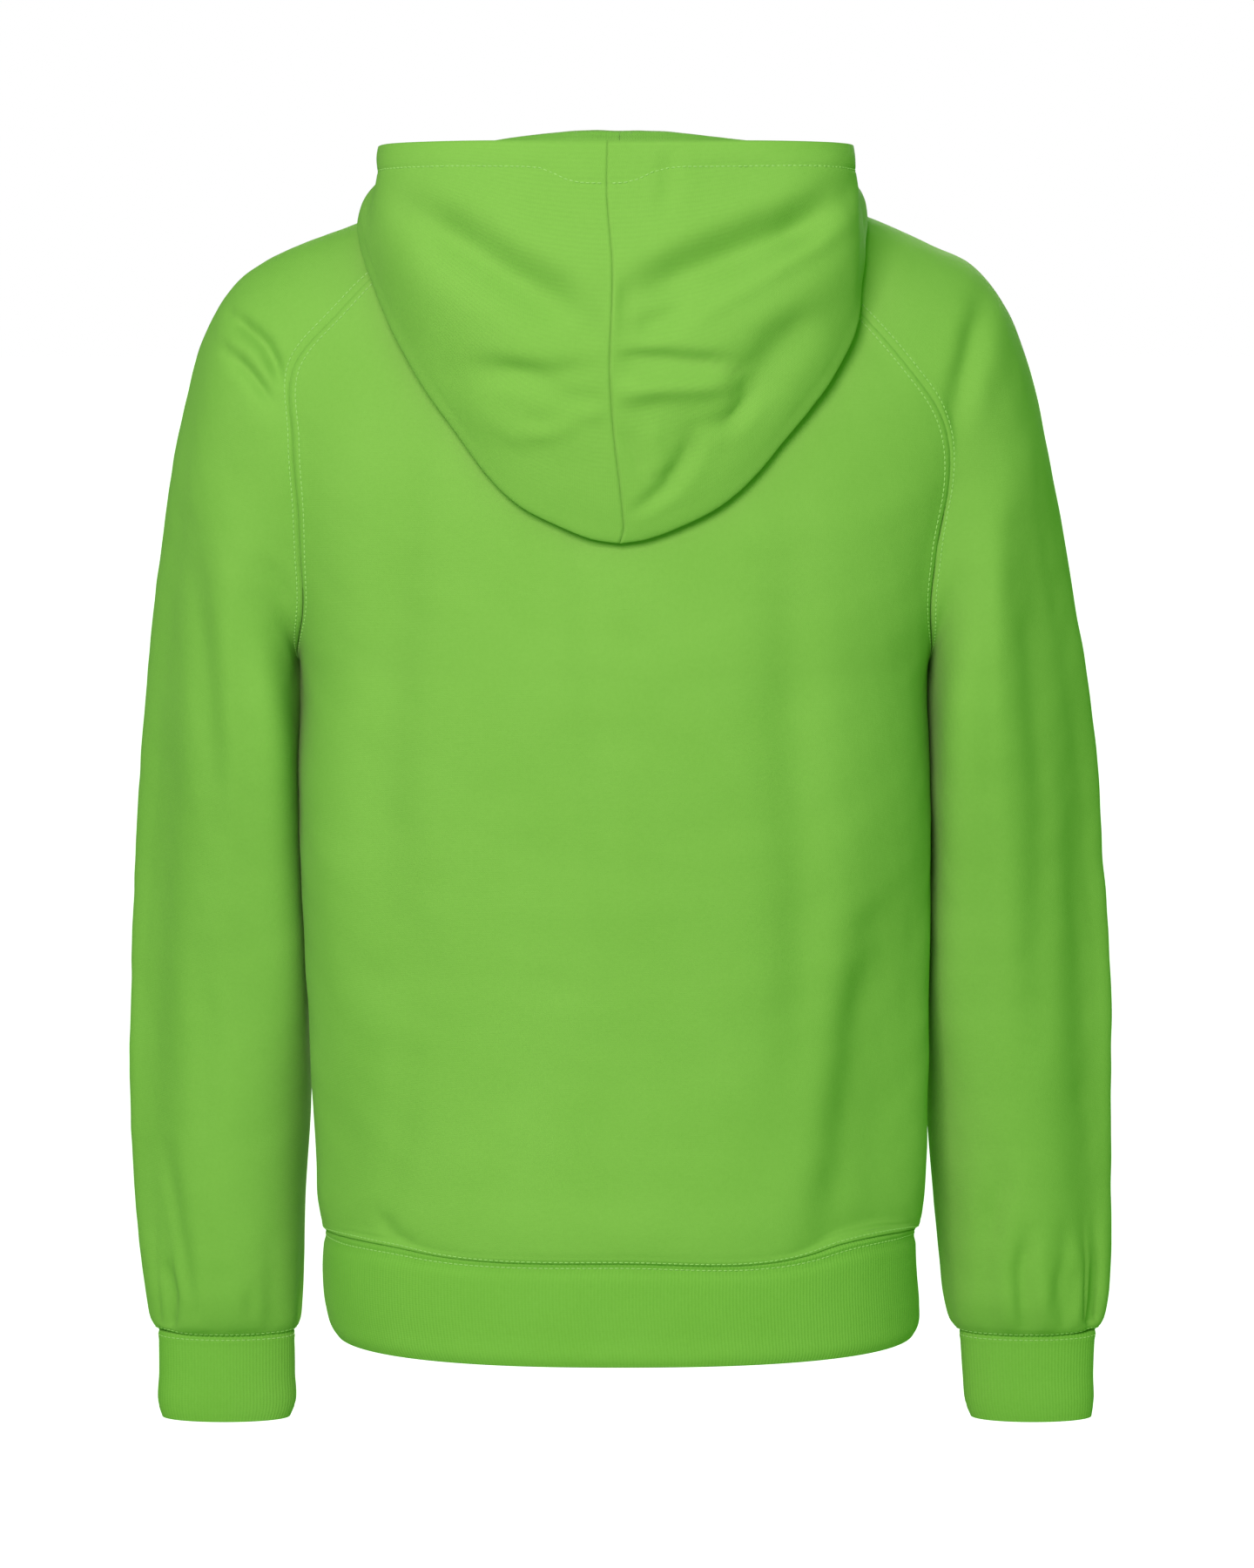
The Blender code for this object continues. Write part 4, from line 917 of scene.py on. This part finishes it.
def cloth_material(name, light, deep, knit, sizes, relief, fuzz, sheen):
    material = bpy.data.materials.new(name)
    nodes = Nodes(material)
    laid = nodes.new("UVMap")
    laid.uv_map = "laid_flat"
    u, v, _ = nodes.split(laid.outputs[0])
    height = knit(nodes, u, v, *sizes)
    nap, tufts, clouds = (nodes.noise(scale) for scale in (NAP, TUFTS, CLOUDS))
    share = nodes.math("MULTIPLY_ADD", clouds, CLOUD_SHARE, nodes.math("MULTIPLY", tufts, TUFT_SHARE))
    # Painted shade: the knit's height darkens its valleys and lightens its loops in the base colour.
    share = nodes.math("MULTIPLY_ADD", height, KNIT_SHADE_SHARE, share)
    surface = nodes.math("MULTIPLY_ADD", nap, fuzz, nodes.math("MULTIPLY", tufts, fuzz))
    bump = nodes.new("Bump")
    bump.inputs["Strength"].default_value = 1.0
    bump.inputs["Distance"].default_value = 1.0
    nodes.put(bump.inputs["Height"], nodes.math("MULTIPLY_ADD", height, relief, surface))
    nodes.shade({"Base Color": nodes.mix(share, (*deep, 1), (*light, 1)), "Normal": bump.outputs[0]})
    nodes.shade({"Roughness": 0.92, "Specular IOR Level": 0.25})
    nodes.shade({"Sheen Weight": sheen, "Sheen Roughness": 0.4, "Sheen Tint": WARM_SHEEN})
    return material


# Each material's light and deep colour, its knit with the width and height of a loop in metres, how far the
# loops and the fuzz stand up, and its sheen.
MATERIALS = {
    "brushed_sweat": (
        (0.25, 0.55, 0.095), (0.185, 0.46, 0.06), knit_height, (0.00105, 0.0009), 0.00005, 0.00012, 0.06
    ),
    "sweat_inside": (
        (0.22, 0.52, 0.085), (0.15, 0.42, 0.05), knit_height, (0.0016, 0.0016), 0.00012, 0.00030, 0.1
    ),
    "fine_rib": (
        (0.22, 0.53, 0.08), (0.16, 0.44, 0.045), rib_height, (0.0021, 0.0012), 0.00009, 0.0001, 0.06
    ),
}


def thread_material():
    material = bpy.data.materials.new("thread")
    nodes = Nodes(material)
    colour = nodes.mix(nodes.noise(TWIST, 2.0), (0.25, 0.56, 0.11, 1), (0.36, 0.68, 0.18, 1))
    nodes.shade({"Base Color": colour, "Roughness": 0.55})
    return material


# Shade on the cloth keeps most of its green and little of its red and blue, as light does that has been from
# cloth to cloth. The soft light is tinted so, and the lamps the other way.
AMBIENT = (0.22, 0.57, 0.08)
AMBIENT_SIDES = 0.75  # strength from above and from the sides; front and back have what it leaves of 2
LAMP_TINT = (1.0, 0.70, 1.0)
LAMP_AIM = (0, 0, -0.25)
LAMP_SIZE = 1.0
FLOOR_Z = -1.45
FLOOR_TINT = (0.45, 0.6, 0.35, 1)
CAMERA_PLACE = (-0.0043, 3.0, 0.0)
CAMERA_AIM = (-0.0043, 0.0, -0.365)


def add_stage():
    """A floor that runs out of sight and a world, both plain white to look at and green-tinted soft light."""
    bpy.ops.mesh.primitive_circle_add(vertices=96, radius=40, fill_type="NGON", location=(0, 0, FLOOR_Z))
    floor = bpy.context.object
    floor.name = "floor"
    material = bpy.data.materials.new("white_floor")
    nodes = Nodes(material)
    nodes.shade({"Base Color": FLOOR_TINT, "Roughness": 0.9})
    nodes.shade({"Emission Color": WHITE, "Emission Strength": nodes.seen_by_camera()})
    floor.data.materials.append(material)
    world = bpy.data.worlds.new("studio")
    nodes = Nodes(world)
    along_y = nodes.math("POWER", nodes.split(nodes.new("TexCoord").outputs["Generated"])[1], 2.0)
    sides, ends = ((*[share * part for part in AMBIENT], 1) for share in (AMBIENT_SIDES, 2 - AMBIENT_SIDES))
    nodes.shade({"Color": nodes.mix(nodes.seen_by_camera(), nodes.mix(along_y, sides, ends), WHITE)})
    bpy.context.scene.world = world


def add_aimed(data, place, aim):
    made = bpy.data.objects.new(data.name, data)
    made.location = place
    made.rotation_euler = (Vector(aim) - Vector(place)).to_track_quat("-Z", "Y").to_euler()
    bpy.context.scene.collection.objects.link(made)
    return made


def add_lamp(name, place, power):
    light = bpy.data.lights.new(name, "AREA")
    light.shape = "SQUARE"
    light.size = LAMP_SIZE
    light.energy = power
    light.color = LAMP_TINT
    add_aimed(light, place, LAMP_AIM).visible_camera = False


def add_camera():
    camera = bpy.data.cameras.new("camera")
    camera.sensor_width = 36
    camera.lens = 112
    bpy.context.scene.camera = add_aimed(camera, CAMERA_PLACE, CAMERA_AIM)


HUNG_ROWS = 34  # rows above and below the armpit's that are evened out
HUNG_PASSES = 220
HUNG_STEP = 0.5  # share of the way to its neighbours' mean that a row goes in each pass
HUNG_SEAM = 28.0  # it fades out in this distance to a seam


def hung(grid, armpit):
    """Takes out the break that a sleeve has at the armpit's row, where it stops being sewn to the body."""
    rows = slice(armpit - HUNG_ROWS, armpit + HUNG_ROWS)
    near = eased(1 - np.abs(np.arange(-HUNG_ROWS, HUNG_ROWS)) / HUNG_ROWS)[:, None]
    from_seam = np.minimum(run_lengths(grid, 1), run_lengths(grid[:, ::-1], 1)[:, ::-1])[rows]
    share = (HUNG_STEP * near * eased(from_seam / HUNG_SEAM))[..., None]
    grid = grid.copy()
    for _ in range(HUNG_PASSES):
        between = (grid[rows.start - 1 : rows.stop - 1] + grid[rows.start + 1 : rows.stop + 1]) / 2
        grid[rows] += share * (between - grid[rows])
    return grid


def make_cloths():
    armpit = len(RAGLAN_ALONG) - 1
    cloths = [Cloth(side, body_panel(side)) for side in ("back", "front")]
    for hand, raglan, sign in (("left", RAGLAN_LEFT, 1), ("right", RAGLAN_RIGHT, -1)):
        sleeve = gathered(hung(sleeve_grid(raglan, hand, sign), armpit), "sleeve_" + hand)
        cloths.append(Cloth("sleeve_" + hand, sleeve, sign < 0, closed_from=armpit))
        cloths.append(Cloth("cuff_" + hand, cuff_grid(hand, sign)[:, :-1], sign < 0, ring=True))
        cloths.append(Cloth("hood_" + hand, seam_wandered(hood_grid(sign)), sign < 0))
    cloths.append(Cloth("hem_rib", hem_rib(), ring=True))
    return cloths


def stand_corners_out(cloth, from_side_seam):
    drop = -cloth.grid[..., 2]
    for way, depth, start, whole, fade, gone in CORNERS.get(cloth.name, ()):
        corner = 2 * np.clip(way * cloth.normals[..., 0], 0, 1) * np.clip(cloth.normals[..., 1], 0, 1)
        level = ramp(drop, start, whole) * (1 - ramp(drop, fade, gone))
        low = ramp(drop, UNDERARM_DROP, CORNER_WHOLE_DROP)
        off_seam = np.maximum(eased(from_side_seam / CORNER_SEAM), low)
        cloth.height += depth * corner**2 * level * off_seam


def dress(cloth, seed):
    """Presses the folds in and raises the seams."""
    top, bottom, first, last = cloth.away.values()
    rows = np.arange(len(cloth.grid))[:, None]
    is_hood = cloth.name.startswith("hood")
    cloth.press(FOLDS.get(cloth.name, ()))
    if is_hood:
        cloth.height *= ramp(rows, *HOOD_CREASED)
    share = RIB_WAVES if cloth.ring else 1.0
    cloth.height += share * unevenness(cloth.grid, seed) * cloth.seam_fade(WAVES_SEAM)
    if cloth.ring:
        cloth.height += seam_relief(top, "rib")
        if cloth.name.startswith("cuff"):
            cloth.height -= groove(bottom - CUFF_TURN, *CUFF_GROOVE)
        return
    cloth.height += seam_relief(top, "neck")
    if is_hood:
        casing = casing_width(cloth.grid[-1, :, 0])
        cloth.height += CASING_SWELL * np.sin(np.pi * np.clip(bottom / casing, 0, 1))
        cloth.height -= groove(bottom - casing, *CASING_GROOVE)
        return
    cloth.height += seam_relief(bottom, "rib")
    for sides in (first, last):
        on_raglan = rows < len(RAGLAN_ALONG)
        cloth.height += np.where(on_raglan, seam_relief(sides, "twin"), seam_relief(sides, "plain"))
    from_side_seam = np.minimum(first, last)
    start, whole, fade, gone = SWELL_DROPS
    below = -cloth.grid[..., 2] - UNDERARM_DROP
    level = ramp(below, start, whole) * (1 - ramp(below, fade, gone))
    cloth.height += level * groove(from_side_seam, SWELL, SWELL_REACH)
    stand_corners_out(cloth, from_side_seam)


def stitch_lines(cloth):
    columns = range(0, cloth.grid.shape[1], 2)
    *_, twin_stitches = SEAMS["twin"]
    *_, rib_stitches = SEAMS["rib"]
    if cloth.ring:
        return [cloth.line_beside("top", rib_stitches, columns)]
    if cloth.name.startswith("hood"):
        return [cloth.line_beside("bottom", casing_width(cloth.grid[-1, ::2, 0]), columns)]
    raglan = range(0, len(RAGLAN_ALONG), 2)
    lines = [cloth.line_beside(edge, twin_stitches, raglan) for edge in ("first", "last")]
    return [*lines, cloth.line_beside("bottom", rib_stitches, columns)]


def main():
    bpy.context.scene.view_settings.view_transform = "Standard"
    add_camera()
    add_stage()
    add_lamp("key", (0.5, 2.5, 0.85), 70)
    add_lamp("front_key", (-0.6, -2.5, 0.8), 58)
    sweat, inside, rib = (cloth_material(name, *values) for name, values in MATERIALS.items())
    thread = thread_material()
    cloths = make_cloths()
    for seed, cloth in enumerate(cloths):
        dress(cloth, seed)
    share_normals(cloths)
    for cloth in cloths:
        made = shell(cloth, (rib, rib) if cloth.ring else (sweat, inside))
        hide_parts(cloth.name)
        vertices, faces = stitches(stitch_lines(cloth))
        mesh = bpy.data.meshes.new("stitches_" + cloth.name)
        mesh.from_pydata((vertices * MM).tolist(), [], faces)
        sewn = linked(mesh, thread)


main()
